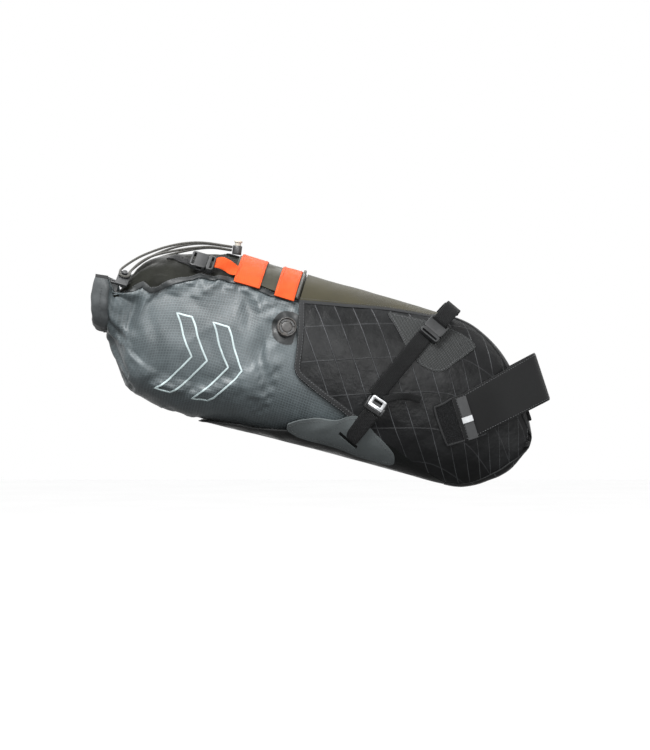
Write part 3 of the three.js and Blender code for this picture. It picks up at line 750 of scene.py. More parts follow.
BLACK = (0.011, 0.0115, 0.012)
MATERIALS = {
    "ripstop": ripstop_fabric("bag_ripstop", (0.0350, 0.0430, 0.0460)),
    "top_fabric": smooth_sheet("bag_top_fabric", (0.0060, 0.0062, 0.0048), 0.55, crease=0.6, specular=0.07),
    "seam": smooth_sheet("bag_welded_seam", (0.011, 0.0125, 0.013), 0.45, crease=0.3, specular=0.3),
    "collar": smooth_sheet("collar_fabric", (0.056, 0.061, 0.063), 0.5, crease=0.6, specular=0.3),
    "laminate": laminate_fabric("holster_laminate", (0.0062, 0.0065, 0.0068)),
    "olive": woven("holster_top_cloth", (0.0240, 0.0215, 0.0120), 0.72, 0.0012, sheen=0.1, specular=0.15),
    "olive_band": smooth_sheet("harness_cloth", (0.020, 0.019, 0.012), 0.6, crease=0.4, specular=0.25),
    "patch": ballistic_fabric("rail_patch_cloth", (0.0085, 0.009, 0.009), (0.062, 0.065, 0.065)),
    "wing": woven(
        "wing_cloth", (0.0640, 0.0720, 0.0735), 0.62, 0.0008, strength=0.15, variation=0.2, specular=0.14
    ),
    "gloss": smooth_sheet("base_panel_sheet", (0.0050, 0.0056, 0.0054), 0.3, crease=0.6, specular=0.12),
    "tape": woven("binding_tape", (0.013, 0.0135, 0.014), 0.68, 0.0015, strength=0.5, specular=0.2),
    "orange": webbing("orange_webbing_weave", (0.41, 0.054, 0.012)),
    "black_web": webbing("black_webbing_weave", (0.0065, 0.0067, 0.0069)),
    "strap": woven(
        "strap_neoprene", (0.0062, 0.0064, 0.0066), 0.82, 0.0010, strength=0.25, sheen=0.12, specular=0.15
    ),
    "tab": woven("tab_cloth", (0.030, 0.031, 0.032), 0.7, 0.0014, strength=0.4),
    "loop": fleece("loop_pile", (0.0045, 0.0047, 0.005)),
    "plastic": plastic("black_acetal", BLACK, 0.36),
    "valve": plastic("valve_moulding", (0.010, 0.009, 0.008), 0.42, (0.028, 0.022, 0.018)),
    "rubber": smooth_sheet("seal_rubber_skin", (0.012, 0.012, 0.012), 0.6),
    "toggle": plastic("toggle_moulding", (0.32, 0.30, 0.26), 0.45, (0.40, 0.38, 0.33)),
    "barrel": plastic("barrel_moulding", (0.020, 0.020, 0.020), 0.4),
    "steel": metal("satin_metal", (0.46, 0.47, 0.48), 0.36),
    "cord": braid("shock_cord_sheath", (0.014, 0.014, 0.013), (0.060, 0.058, 0.050)),
    "print": smooth_sheet("reflective_ink", (0.26, 0.31, 0.315), 0.4, crease=0.1),
    "reflector": smooth_sheet("reflective_tape", (0.42, 0.43, 0.44), 0.4, crease=0.1),
    "thread": smooth_sheet("sewing_thread", (0.050, 0.052, 0.054), 0.6, crease=0.1),
    "red_thread": smooth_sheet("orange_sewing_thread", (0.45, 0.06, 0.02), 0.6, crease=0.1),
    "dark": smooth_sheet("inner_sheet", (0.012, 0.012, 0.013), 0.6),
}


# ---------- the dry bag ----------
TAIL_U, END_U = -468, -516
ROLL_PATH = [
    (-526, 0, -82), (-526, -20, -81.6), (-526.5, -46, -79), (-528.5, -68, -70), (-532.5, -79.5, -54),
    (-536.5, -83.5, -34), (-538, -84, -22),
]
ROLL_FRONT = 8.0
roll_curve = smooth_curve(ROLL_PATH, 2.0)


def roll_point(f):
    """A point on the right-hand half of the roll's line, f being 0 at its middle and 1 at its end."""
    x = f * (len(roll_curve) - 1)
    i = min(int(x), len(roll_curve) - 2)
    return roll_curve[i].lerp(roll_curve[i + 1], x - i)


def mouth_point(th):
    """Where the bag's cloth goes into the roll: the mouth lies flat, its top layer over its bottom one."""
    a = abs(th)
    f = a / (math.pi / 2) if a <= math.pi / 2 else (math.pi - a) / (math.pi / 2)
    p = roll_point(f)
    q = roll_point(min(1.0, f + 0.02)) if f < 0.98 else p
    r = roll_point(max(0.0, f - 0.02))
    t = (q - r).normalized()
    n = Vector((1, 0, 0)).cross(t).normalized()
    n = n if n.z > 0 or f > 0.9 else n
    lift = 1.6 if a <= math.pi / 2 else -1.6
    p = p + Vector((ROLL_FRONT, 0, 0)) + Vector((0, -n.y, -n.z)) * (lift if n.z < 0 else -lift)
    return (p.x, p.y if th <= 0 else -p.y, p.z)


def ridge(p):
    return 1 - 2 * abs(noise.noise(p))


def bump_at(u, w, cu, cw, ru, rw, turn=0.0):
    """A soft round hill, 1 at its middle, turned in the side view."""
    du, dw = u - cu, w - cw
    c, s = math.cos(turn), math.sin(turn)
    a, b = (du * c + dw * s) / ru, (-du * s + dw * c) / rw
    return math.exp(-(a * a + b * b))


def segment_distance(u, w, a, b):
    ab = (b[0] - a[0], b[1] - a[1])
    t = ((u - a[0]) * ab[0] + (w - a[1]) * ab[1]) / (ab[0] ** 2 + ab[1] ** 2)
    t = max(0.0, min(1.0, t))
    return math.hypot(u - a[0] - ab[0] * t, w - a[1] - ab[1] * t), t


# Creases: a run in the side view, its depth and its half width.
CREASES = [
    ([(-491, -30), (-497, -62), (-501, -96), (-482, -130)], -9.0, 7.5),
    ([(-471, -6), (-483, -38), (-486, -66)], 4.2, 6.0),
    ([(-476, -70), (-462, -96), (-458, -128)], 2.4, 8.0),
    ([(-470, -52), (-452, -82), (-444, -118)], -2.2, 7.0),
    ([(-442, -6), (-420, -24), (-404, -30)], -1.6, 7.0),
    ([(-372, 6), (-356, -14), (-350, -36)], -2.0, 6.0),
    ([(-352, 4), (-338, -14), (-334, -34)], 1.8, 6.0),
    ([(-330, -4), (-318, 2), (-304, -2)], -2.2, 4.0),
    ([(-334, -40), (-324, -74), (-296, -110)], -3.8, 9.0),
    ([(-352, -46), (-344, -84), (-316, -118)], 2.0, 11.0),
    ([(-430, -148), (-404, -132), (-392, -112)], -2.0, 7.0),
    ([(-462, -136), (-440, -120), (-430, -104)], -1.8, 7.0),
    ([(-400, -60), (-384, -74), (-372, -98)], -1.5, 8.0),
]


def wrinkle(u, y, w, th):
    """How far the cloth stands from the smooth shape, in millimetres."""
    slack = float(smoothstep(-u, 296, 330))
    if slack <= 0:
        return -0.6
    side = 1.0 if y < 0 else -1.0
    p = Vector((u / 62, th * 1.35 * side + (7 if y > 0 else 0), w / 90))
    lift = 2.3 * noise.noise(p) + 1.1 * noise.noise(p * 2.3)
    lift += 1.6 * max(0.0, ridge(Vector((u / 46 + 3, w / 70, side * 2.0)))) ** 3
    for run, depth, width in CREASES:
        near = 1e9
        end = 1.0
        for k, (a, b) in enumerate(zip(run, run[1:])):
            d, t = segment_distance(u, w, a, b)
            if d < near:
                near = d
                whole = (k + t) / (len(run) - 1)
                end = math.sin(math.pi * min(1, max(0, 0.12 + 0.76 * whole)))
        if near < width * 3:
            lift += depth * end * math.exp(-((near / width) ** 2)) * (1.0 if y < 0 else 0.8)
    low = float(smoothstep(abs(th), 1.7, 2.7))
    lift += 6.5 * low * math.exp(-(((u + 480) / 24) ** 2))
    tail = float(smoothstep(-u, 470, 502))
    pleat = math.sin(th * 13 + 3.0 * noise.noise(Vector((u / 40, th * 2, side))))
    lift += tail * (1.9 * pleat + 1.2 * noise.noise(Vector((u / 14, th * 5, side * 3))))
    return slack * lift - 0.5


ROWS_U = np.concatenate(
    [np.linspace(END_U, TAIL_U, 40), np.linspace(TAIL_U, -290, 82)[1:], np.linspace(-290, 15, 36)[1:]]
)
COLS_T = np.linspace(-math.pi, math.pi, 217)


def bag_grid():
    base = wall(np.maximum(ROWS_U, -514)[:, None], COLS_T[None, :], -0.4)
    for i, u in enumerate(ROWS_U):
        if u >= TAIL_U:
            continue
        v = (TAIL_U - u) / (TAIL_U - END_U)
        h = v**5
        spread = wall(np.full(len(COLS_T), max(u, -512.0)), COLS_T, -0.4)
        mouth = np.array([mouth_point(t) for t in COLS_T])
        base[i] = (1 - h) * spread + h * mouth
    du = np.gradient(base, axis=0)
    dt = np.empty_like(base)
    dt[:, 1:-1] = base[:, 2:] - base[:, :-2]
    dt[:, 0] = dt[:, -1] = base[:, 1] - base[:, -2]
    n = np.cross(du, dt)
    n /= np.maximum(np.linalg.norm(n, axis=-1, keepdims=True), 1e-9)
    centre = base.mean(axis=1, keepdims=True)
    if np.sum(n * (base - centre)) < 0:
        n = -n
    lift = np.zeros(base.shape[:2])
    for i, u in enumerate(ROWS_U):
        fade = 1 - float(smoothstep(-u, 508, 516))
        for j, t in enumerate(COLS_T[:-1]):
            _, y, w = base[i, j]
            lift[i, j] = wrinkle(float(u), y, w, float(t)) * fade
        lift[i, -1] = lift[i, 0]
    return base + n * lift[..., None]


SLACK = 0.035
COARSE = 3
MOST_MOVE = 7.0


def grid_normals(grid):
    du = np.gradient(grid, axis=0)
    dt = np.empty_like(grid)
    dt[:, 1:-1] = grid[:, 2:] - grid[:, :-2]
    dt[:, 0] = dt[:, -1] = grid[:, 1] - grid[:, -2]
    n = np.cross(du, dt)
    n /= np.maximum(np.linalg.norm(n, axis=-1, keepdims=True), 1e-9)
    if np.sum(n * (grid - grid.mean(axis=1, keepdims=True))) < 0:
        n = -n
    return n


def held_share(u, th):
    """How firmly the cloth is held: fast in the holster and at the roll, pressed down under the harness."""
    fast = max(float(smoothstep(u, -318, -298)), float(smoothstep(-u, 500, 510)))
    harness = 0.6 * float(smoothstep(1.0 - abs(th), 0.0, 0.3)) * float(smoothstep(u, -400, -384))
    return max(fast, harness)


def settle_cloth(grid):
    """Lets the bag's cloth, cut a little too large, settle over its load.

    The moves are then limited, so that the cloth stays against the harness, the seams and the base panel.
    """
    coarse = grid[::COARSE, :-1:COARSE]
    rows, cols = coarse.shape[:2]
    faces = []
    for i in range(rows - 1):
        for j in range(cols):
            k = (j + 1) % cols
            faces.append((i * cols + j, i * cols + k, (i + 1) * cols + k, (i + 1) * cols + j))
    cloth = mesh_object("settling_cloth", coarse.reshape(-1, 3), faces)
    start = np.array([v.co for v in cloth.data.vertices])
    group = cloth.vertex_groups.new(name="held")
    angles = COLS_T[:-1:COARSE]
    for i, u in enumerate(ROWS_U[::COARSE]):
        for j, th in enumerate(angles):
            group.add([i * cols + j], held_share(float(u), float(th)), "REPLACE")
    settings = cloth.modifiers.new("cloth", "CLOTH")
    settings.settings.quality = 6
    settings.settings.mass = 0.25
    settings.settings.tension_stiffness = settings.settings.compression_stiffness = 18
    settings.settings.shear_stiffness = 6
    settings.settings.bending_stiffness = 0.25
    settings.settings.vertex_group_mass = "held"
    settings.settings.shrink_min = -SLACK
    settings.settings.use_pressure = True
    settings.settings.uniform_pressure_force = 2.6
    settings.settings.effector_weights.gravity = 0.05
    settings.collision_settings.use_collision = False
    settings.point_cache.frame_start, settings.point_cache.frame_end = 1, 20
    scene = bpy.context.scene
    for f in range(1, 21):
        scene.frame_set(f)
    shape = cloth.evaluated_get(bpy.context.evaluated_depsgraph_get()).to_mesh()
    end = np.array([v.co for v in shape.vertices])
    back = np.array(BAG.to_3x3().inverted())
    move = ((end - start) @ back.T).reshape(rows, cols, 3)
    scene.frame_set(1)
    mesh = cloth.data
    bpy.data.objects.remove(cloth)
    bpy.data.meshes.remove(mesh)
    length = np.linalg.norm(move, axis=-1, keepdims=True)
    move *= np.minimum(1.0, MOST_MOVE / np.maximum(length, 1e-6))
    out = grid_normals(grid)[::COARSE, :-1:COARSE]
    rise = np.sum(move * out, -1)
    turn = np.abs(angles)[None, :]
    along = ROWS_U[::COARSE][:, None]
    crown = smoothstep(1.25 - turn, 0.0, 0.35)
    base = smoothstep(turn, 2.0, 2.4) * smoothstep(along, -392, -380)
    most = 3.0 - 1.8 * crown - 3.2 * base
    least = -5.0 + 3.6 * crown
    move += out * (np.clip(rise, least, most) - rise)[..., None]
    return grid + spread_moves(move, grid.shape)


def spread_moves(move, shape):
    """Carries the coarse grid's moves over to every point of the fine one."""
    move = np.concatenate([move, move[:, :1]], axis=1)
    at_rows = np.minimum(np.arange(shape[0]) / COARSE, move.shape[0] - 1.001)
    at_cols = np.minimum(np.arange(shape[1]) / COARSE, move.shape[1] - 1.001)
    i, j = at_rows.astype(int), at_cols.astype(int)
    fi, fj = (at_rows - i)[:, None, None], (at_cols - j)[None, :, None]
    fi, fj = fi * fi * (3 - 2 * fi), fj * fj * (3 - 2 * fj)
    top = move[i][:, j] * (1 - fj) + move[i][:, j + 1] * fj
    low = move[i + 1][:, j] * (1 - fj) + move[i + 1][:, j + 1] * fj
    return top * (1 - fi) + low * fi


GRID = bag_grid()
GRID = settle_cloth(GRID)


GRID_NORMAL = grid_normals(GRID)


def bag_surface(u, th, off=0.0):
    """A point on the crumpled dry bag, and its normal."""
    i = int(np.clip(np.searchsorted(ROWS_U, u) - 1, 0, len(ROWS_U) - 2))
    fi = (u - ROWS_U[i]) / (ROWS_U[i + 1] - ROWS_U[i])
    x = (th + math.pi) / (2 * math.pi) * (len(COLS_T) - 1)
    j = int(np.clip(x, 0, len(COLS_T) - 2))
    fj = x - j
    weights = ((1 - fi) * (1 - fj), (1 - fi) * fj, fi * (1 - fj), fi * fj)
    spots = ((i, j), (i, j + 1), (i + 1, j), (i + 1, j + 1))
    p = sum(k * GRID[s] for k, s in zip(weights, spots))
    n = sum(k * GRID_NORMAL[s] for k, s in zip(weights, spots))
    n = n / np.linalg.norm(n)
    return p + n * off, n


def bag_patch(name, outline, layer, step=4.0):
    flat = [(u, th * RADIUS) for u, th in outline]
    pts, tris = fill_outline(flat, [], step)
    top, bottom, cloth = [], [], []
    for u, t in pts:
        p, n = bag_surface(u, t / RADIUS)
        top.append(p + n * layer[1])
        bottom.append(p + n * layer[0])
        cloth.append((u, float(arc_length(u, t / RADIUS))))
    verts, faces = thick_shell(np.array(top), np.array(bottom), tris)
    return mesh_object(name, verts, faces, np.vstack([cloth, cloth]))


def bag_frames(path, off, step=3.0, closed=False):
    dense = densify([(u, t * RADIUS) for u, t in path], step, closed=closed)
    spots = [bag_surface(u, t / RADIUS, off) for u, t in dense]
    o = np.array([p for p, _ in spots])
    n = np.array([m for _, m in spots])
    if closed:
        t = np.roll(o, -1, axis=0) - np.roll(o, 1, axis=0)
    else:
        t = np.gradient(o, axis=0)
    t /= np.linalg.norm(t, axis=1, keepdims=True)
    across = np.cross(t, n)
    across /= np.linalg.norm(across, axis=1, keepdims=True)
    n = np.cross(across, t)
    s = np.concatenate([[0], np.cumsum(np.linalg.norm(np.diff(o, axis=0), axis=1))])
    return [(Vector(a), Vector(b), Vector(c), d) for a, b, c, d in zip(o, across, n, s)]


def roll_blend(obj, material, replaces=()):
    """Cloth that runs from the bag into its roll: it gets its material and no body, and its place is baked
    into its mesh.
    """
    place(obj, None, material, replaces)
    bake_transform(obj)
    return obj


def make_dry_bag():
    rows, cols = GRID.shape[0], GRID.shape[1] - 1
    verts = GRID[:, :-1].reshape(-1, 3)
    cloth = np.array([(u, float(arc_length(max(u, -519), t))) for u in ROWS_U for t in COLS_T[:-1]])
    faces = []
    for i in range(rows - 1):
        for j in range(cols):
            k = (j + 1) % cols
            faces.append((i * cols + j, i * cols + k, (i + 1) * cols + k, (i + 1) * cols + j))
    faces.append(tuple((rows - 1) * cols + j for j in range(cols)))
    faces.append(tuple(reversed([j for j in range(cols)])))
    bag = mesh_object("dry_bag_body", verts, faces, cloth, sharp=0)
    roll_blend(bag, MATERIALS["ripstop"], ["dry_bag_shell"])


TOP_SEAM_BAG = [(-478, -21), (-452, -1), (-427, 11), (-379, 16), (-336, 13), (-303, 15)]


def make_top_panel():
    right = [(-512, -1.25), (-500, -1.2), (-490, -1.1)] + [(u, side_angle(u, w, -1)) for u, w in TOP_SEAM_BAG]
    right = [(p.x, p.y / 50) for p in smooth_curve([(u, t * 50, 0) for u, t in right], 6)]
    right.append((-290, right[-1][1]))
    left = [(u, -t) for u, t in reversed(right)]
    panel = bag_patch("dry_bag_crown", right + left, (-0.6, 1.5), 4.0)
    roll_blend(panel, MATERIALS["top_fabric"], ["dry_bag_top_panel"])
    for side, s in SIDES.items():
        run = [(u, -t * s) if s > 0 else (u, t) for u, t in right]
        tape = sweep(f"crown_seam_{side}", bag_frames(run, 1.75), band_section(7.0, 0.7))
        roll_blend(tape, MATERIALS["seam"])
        row = [(o - a * 2.6, n) for o, a, n, _ in bag_frames(run, 2.15)]
        thread = stitch_mesh(f"crown_stitching_{side}", [row], 2.4, 1.2, 0.28)
        roll_blend(thread, MATERIALS["thread"])


def make_crown_end_seam():
    """The taped seam where the crown meets the plain front part that stays in the holster."""
    reach = abs(side_angle(-290, TOP_SEAM_BAG[-1][1], -1))
    across = [(-291, reach * (k / 20 - 1)) for k in range(41)]
    tape = sweep("crown_end_seam", bag_frames(across, 1.75), band_section(7.0, 0.7))
    place(tape, "dry_bag", MATERIALS["seam"])


def make_emblem():
    """A plain pair of nested chevrons in reflective ink on each side of the bag."""
    for side, s in SIDES.items():
        for k, (cu, cw, size) in enumerate(((-414, -86, 46), (-368, -86, 46))):
            shape = []
            for a, b in ((-0.62, 1.0), (-0.16, 1.0), (0.62, 0.0), (-0.16, -1.0), (-0.62, -1.0), (0.16, 0.0)):
                u, w = cu + a * size * 0.9, cw + b * size
                shape.append((u, side_angle(u, w, s)))
            frames = bag_frames(shape, 0.3, 3.0, closed=True)
            line = sweep(f"chevron_{k}_{side}", frames, band_section(2.3, 0.5), closed=True)
            place(line, "dry_bag", MATERIALS["print"])


# ---------- the rolled mouth ----------
def spiral_section(half_u, half_n, layer, turns):
    """A flattened spiral of cloth, as a thin closed outline."""
    outer, inner = [], []
    count = int(turns * 22)
    for i in range(count + 1):
        a = 2 * math.pi * turns * i / count
        k = layer * 1.12 * turns * i / count
        c, s = math.cos(a), math.sin(a)
        px, py = power(np.array([c, s]))
        outer.append((float((half_u - k) * px), float((half_n - k) * py)))
        inner.append((float((half_u - k - layer) * px), float(max(half_n - k - layer, 0.15) * py)))
    return outer + inner[::-1]


def roll_swell(f):
    """The roll is fullest a little in from each end, where the cloth's folds stack up."""
    end = min(f, 1 - f)
    return (
        0.66 + 0.34 * math.sqrt(float(smoothstep(end, -0.004, 0.05)))
        + 0.06 * math.exp(-(((end - 0.1) / 0.06) ** 2))
    )


def make_roll():
    half = [Vector((p[0], p[1], p[2])) for p in ROLL_PATH]
    path = [Vector((p.x, -p.y, p.z)) for p in reversed(half[1:])] + half
    path = [path[0].lerp(path[1], 0.35)] + path[1:-1] + [path[-1].lerp(path[-2], 0.35)]
    frames = []
    curve = smooth_curve(path, 2.2)
    distance = 0.0
    for i, p in enumerate(curve):
        t = (curve[min(i + 1, len(curve) - 1)] - curve[max(i - 1, 0)]).normalized()
        n = Vector((1, 0, 0)).cross(t).normalized()
        across = t.cross(n).normalized()
        if i:
            distance += (p - curve[i - 1]).length
        wave = Vector((p.y / 16, p.z / 16, 4.0))
        p = p + n * (1.6 * noise.noise(wave)) + across * (1.8 * noise.noise(wave + Vector((3, 1, 5))))
        lean = 0.35 * noise.noise(wave * 0.7 + Vector((9, 2, 1)))
        n, across = n * math.cos(lean) + across * math.sin(lean), across * math.cos(lean) - n * math.sin(lean)
        frames.append((p, across, n, distance))
    collar = sweep("rolled_mouth", frames, spiral_section(10.8, 6.2, 1.25, 2.3), sharp=70, scale=roll_swell)
    place(collar, "roll_top", MATERIALS["collar"], ["rolled_collar"])
    edge = [(p + n * 6.3 + a * 3.0, n) for p, a, n, _ in frames[3:-3]]
    thread = stitch_mesh("roll_stitching", [edge], 2.4, 1.3, 0.28)
    place(thread, "roll_top", MATERIALS["thread"])


# ---------- the holster ----------
OPENING_EDGE = [(-297, 12.6), (-279, -71), (-203, -101.4), (-166, -119)]
TOP_SEAM = [(-300, 12.6), (-245, 23.6), (-195, 34), (-142, 40.4)]
BOTTOM_SEAM = [(-166, -119), (-138, -127), (-100, -141)]
BOTTOM_EDGE = [(-314, -151.5), (-300, -149), (-276, -144), (-240, -132), (-203, -118)]
BASE_REAR = [(-378, 5), (-376.5, 14), (-370, 24), (-358, 32), (-342, 37), (-328, 41)]
STRIP_HALF = 16.0


def strip_half(u):
    return min(STRIP_HALF, 0.8 * float(smooth_section(float(u))[2]))


def on_side(points, s):
    return [(u, side_angle(u, w, s, 4.6)) for u, w in points]


def soft_relief(scale, height, seed):
    def relief(u, th):
        p = Vector((u / scale, th * 85 / scale, seed))
        return height * noise.noise(p) + height * 0.5 * noise.noise(p * 2.4)

    return relief


def make_side_panels():
    for side, s in SIDES.items():
        outline = on_side(OPENING_EDGE, s) + on_side(BOTTOM_SEAM[1:], s)
        nose = np.linspace(-66, 17.6, 22)
        outline += [(float(u), s * abs(float(bottom_angle(u, strip_half(u))))) for u in nose]
        outline += [
            (float(u), s * abs(float(top_angle(u, strip_half(u)))))
            for u in reversed(np.linspace(-112, 17.6, 28))
        ]
        outline += on_side(list(reversed(TOP_SEAM)), s)
        panel = patch(f"side_laminate_{side}", outline, (2.6, 4.6), 5.0, detail=soft_relief(42, 0.7, s * 3.0))
        place(panel, "holster", MATERIALS["laminate"], [f"holster_side_panel_{side}"])


def make_nose_strip():
    """The panel that runs from the top over the nose and back under it."""
    top = np.linspace(-120, 12, 40)
    tip = np.linspace(12.8, 18.1, 9)
    rows = [(float(u), "top") for u in top] + [(float(u), "top") for u in tip]
    rows += [(float(u), "bottom") for u in tip[::-1]] + [
        (float(u), "bottom") for u in np.linspace(12, -68, 26)
    ]
    cols = 13
    outer, inner, cloth = [], [], []
    s = 0.0
    last = None
    for u, where in rows:
        half = strip_half(u)
        for k in range(cols):
            y = half * (2 * k / (cols - 1) - 1)
            th = float(top_angle(u, y)) if where == "top" else float(bottom_angle(u, y))
            ridge_lift = 0.5 if 0 < k < cols - 1 else 0.0
            o = wall(u, th, 4.8 + ridge_lift)
            outer.append(o)
            inner.append(wall(u, th, 2.7))
            if k == cols // 2:
                s += 0 if last is None else float(np.linalg.norm(o - last))
                last = o
            cloth.append((s, y))
    tris = []
    for i in range(len(rows) - 1):
        for j in range(cols - 1):
            a = i * cols + j
            tris.append((a, a + 1, a + cols + 1, a + cols))
    verts, faces = thick_shell(np.array(outer), np.array(inner), tris)
    strip = mesh_object("nose_strip", verts, faces, cloth + cloth)
    place(strip, "holster", MATERIALS["laminate"], ["holster_nose_panel"])
    for side, s in SIDES.items():
        edge = [(u, s * abs(float(top_angle(u, strip_half(u))))) for u in np.linspace(-118, 17.6, 50)]
        edge += [(u, s * abs(float(bottom_angle(u, strip_half(u))))) for u in np.linspace(17.6, -66, 34)]
        bead, _ = tube(f"nose_seam_{side}", [Vector(wall(u, t, 4.9)) for u, t in edge], 0.9, 2.5, 8)
        place(bead, "holster", MATERIALS["tape"])


def make_top_cloth():
    right = on_side(TOP_SEAM, -1)
    right.append((-120, -float(top_angle(-120, STRIP_HALF))))
    left = [(u, -t) for u, t in reversed(right)]
    panel = patch("holster_crown", right + left, (2.6, 4.7), 5.0, detail=soft_relief(50, 0.8, 9.0))
    place(panel, "holster", MATERIALS["olive"], ["holster_top_panel"])
    for side, s in SIDES.items():
        run = [(u, abs(t) * s) for u, t in right]
        seam = strap_on_wall(f"top_seam_{side}", run, 5.0, 0.8, 4.6)
        place(seam, "holster", MATERIALS["tape"])
        thread = stitch_mesh(
            f"top_seam_stitching_{side}", [wall_run(shift_path(run, 4.5), 5.2)], 2.2, 1.2, 0.28
        )
        place(thread, "holster", MATERIALS["thread"])


def shift_path(path, distance):
    """Moves a path on the wall sideways, towards the top of the bag for a positive distance."""
    return [(u, t - math.copysign(distance / RADIUS, t)) for u, t in path]


def make_base():
    """The glossy panel under the bag, with a tongue at its rear."""
    right = [(u, abs(float(bottom_angle(u, y)))) for u, y in BASE_REAR]
    right += [(u, abs(t)) for u, t in on_side(BOTTOM_EDGE + BOTTOM_SEAM, -1)]
    right += [(-69, abs(float(bottom_angle(-69, STRIP_HALF))))]
    left = [(u, 2 * math.pi - t) for u, t in right]
    panel = patch("base_panel", right + left[::-1], (2.7, 4.7), 5.0, detail=soft_relief(60, 0.7, 15.0))
    place(panel, "holster", MATERIALS["gloss"], ["holster_bottom_panel"])
    edge = len(BASE_REAR) + len(BOTTOM_EDGE)
    rim = right[:edge][::-1] + left[:edge]
    binding = strap_on_wall("base_binding", rim, 5.0, 1.3, 4.4, 3.0)
    place(binding, "holster", MATERIALS["tape"])


def make_bindings():
    for side, s in SIDES.items():
        path = round_corners([(u, w) for u, w in OPENING_EDGE[:3]] + [(-166, -119)], [0, 9, 12, 0], 5)
        run = on_side(path, s)
        tape = strap_on_wall(f"opening_binding_{side}", run, 7.5, 2.6, 3.4, 3.0)
        place(tape, "holster", MATERIALS["tape"], [f"holster_piping_{side}"])
        rows = []
        for shift in (-2.4, 2.4):
            frames = frames_on_wall(run, 6.1, 3.0)
            rows.append([(o + a * shift, n) for o, a, n, _ in frames])
        thread = stitch_mesh(f"opening_stitching_{side}", rows, 2.4, 1.2, 0.3)
        place(thread, "holster", MATERIALS["thread"])


# ---------- sewn-on pieces ----------
RAIL_PATCH = [
    (-196, 30.5), (-161, -4), (-139, -20.7), (-122, -24.5), (-108, -21), (-86, 7), (-77, 19), (-84, 25),
    (-110, 33),
    (-142, 33.4), (-180, 31),
]
WING = [
    (-262, -125), (-240, -116), (-216, -113), (-205, -104), (-196, -100), (-176, -110), (-150, -125),
    (-137, -134),
    (-134, -144), (-140, -147.5), (-176, -148), (-202, -145), (-223, -145), (-256, -145), (-271, -141),
    (-274, -134),
]
WING_SLOT = [(-209, -124), (-183.5, -135), (-184.5, -139.5), (-210.5, -128)]
LOOP_PATCH = [(-109, -65), (-79, -106.5), (-38, -79), (-66, -36)]


def make_patches():
    for side, s in SIDES.items():
        outline = round_corners(RAIL_PATCH, 7, 3)
        rail = patch(f"rail_reinforcement_{side}", on_side(outline, s), (4.6, 5.9), 4.0)
        place(rail, "holster", MATERIALS["patch"], [f"rail_patch_{side}"])
        thread = stitch_mesh(
            f"rail_patch_stitching_{side}", [wall_run(inset_on_wall(outline, 2.2, s), 6.0)], 2.2, 1.1, 0.28
        )
        place(thread, "holster", MATERIALS["thread"])
        shape = round_corners(WING, 6, 3)
        relief = wing_relief(s)
        wing = patch(
            f"wing_{side}", on_side(shape, s), (4.9, 6.5), 3.5, holes=[on_side(WING_SLOT, s)], detail=relief
        )
        place(wing, "holster", MATERIALS["wing"], [f"compression_wing_{side}"])
        thread = stitch_mesh(
            f"wing_stitching_{side}", [wall_run(inset_on_wall(shape, 3.0, s), 6.7)], 2.4, 1.3, 0.28
        )
        place(thread, "holster", MATERIALS["thread"])


def inset_on_wall(outline, inset, s):
    inner = offset_outline(outline, inset)
    return on_side(inner + inner[:1], s)


def wing_relief(s):
    def relief(u, th):
        fold = bump_at(u, th * 60, -234, s * 138, 16, 5, 0.4)
        return 1.1 * fold + 0.6 * noise.noise(Vector((u / 18, th * 4, s * 2.0)))

    return relief


def make_loop_patch():
    shape = round_corners(LOOP_PATCH, 3, 3)
    pile = patch("loop_pile_patch", on_side(shape, -1), (4.9, 6.3), 2.5, detail=soft_relief(4, 0.35, 21.0))
    place(pile, "holster", MATERIALS["loop"], ["loop_patch"])
    inner = offset_outline(LOOP_PATCH, 1.2)
    rim = strap_on_wall("loop_patch_rim", on_side(inner + inner[:1], -1), 2.6, 0.9, 5.9, 3.0)
    place(rim, "holster", MATERIALS["tape"])


# ---------- straps over the bag ----------
def band_ribs(loose):
    def relief(s, a):
        p = Vector((s / 17, a / 22, loose))
        return 0.9 * noise.noise(p) + 0.25

    return relief


def across_top(u, half_angle, step=0.05):
    return [(u, t) for t in np.arange(-half_angle, half_angle + 1e-6, step)]


def make_harness():
    outline = [
        (-386, -0.62), (-380, -0.80), (-340, -0.86), (-301.5, -0.90), (-301.5, 0.90), (-340, 0.86),
        (-380, 0.80), (-386, 0.62)
    ]
    cloth = patch("harness_cloth", outline, (2.1, 3.9), 5.0, detail=soft_relief(30, 0.5, 31.0))
    place(cloth, "holster", MATERIALS["olive_band"], ["harness_panel"])
    rear = strap_on_wall("rear_band", across_top(-367, 0.92), 33, 1.5, 4.3, 4.0, band_ribs(1.0))
    place(rear, "holster", MATERIALS["orange"], ["harness_band_rear"])
    front = strap_on_wall("front_band", across_top(-319, 0.96), 25, 1.5, 4.3, 4.0, band_ribs(5.0))
    place(front, "holster", MATERIALS["orange"], ["harness_band_front"])
    rows = []
    for u, half in ((-367, 16.5), (-319, 12.5)):
        for edge in (-half + 2.5, half - 2.5):
            rows.append(wall_run(across_top(u + edge, 0.9), 6.4))
    thread = stitch_mesh("band_stitching", rows, 2.6, 1.4, 0.32)
    place(thread, "holster", MATERIALS["red_thread"])
    cord_path = [
        Vector(wall(-304.2, t, 5.4 + (2.2 if abs(t) < 0.25 else 0))) for t in np.linspace(-0.9, 0.9, 30)
    ]
    cord, _ = tube("front_cross_cord", cord_path, 1.5, 2.5, 10)
    place(cord, "holster", MATERIALS["cord"], ["cross_cord"])


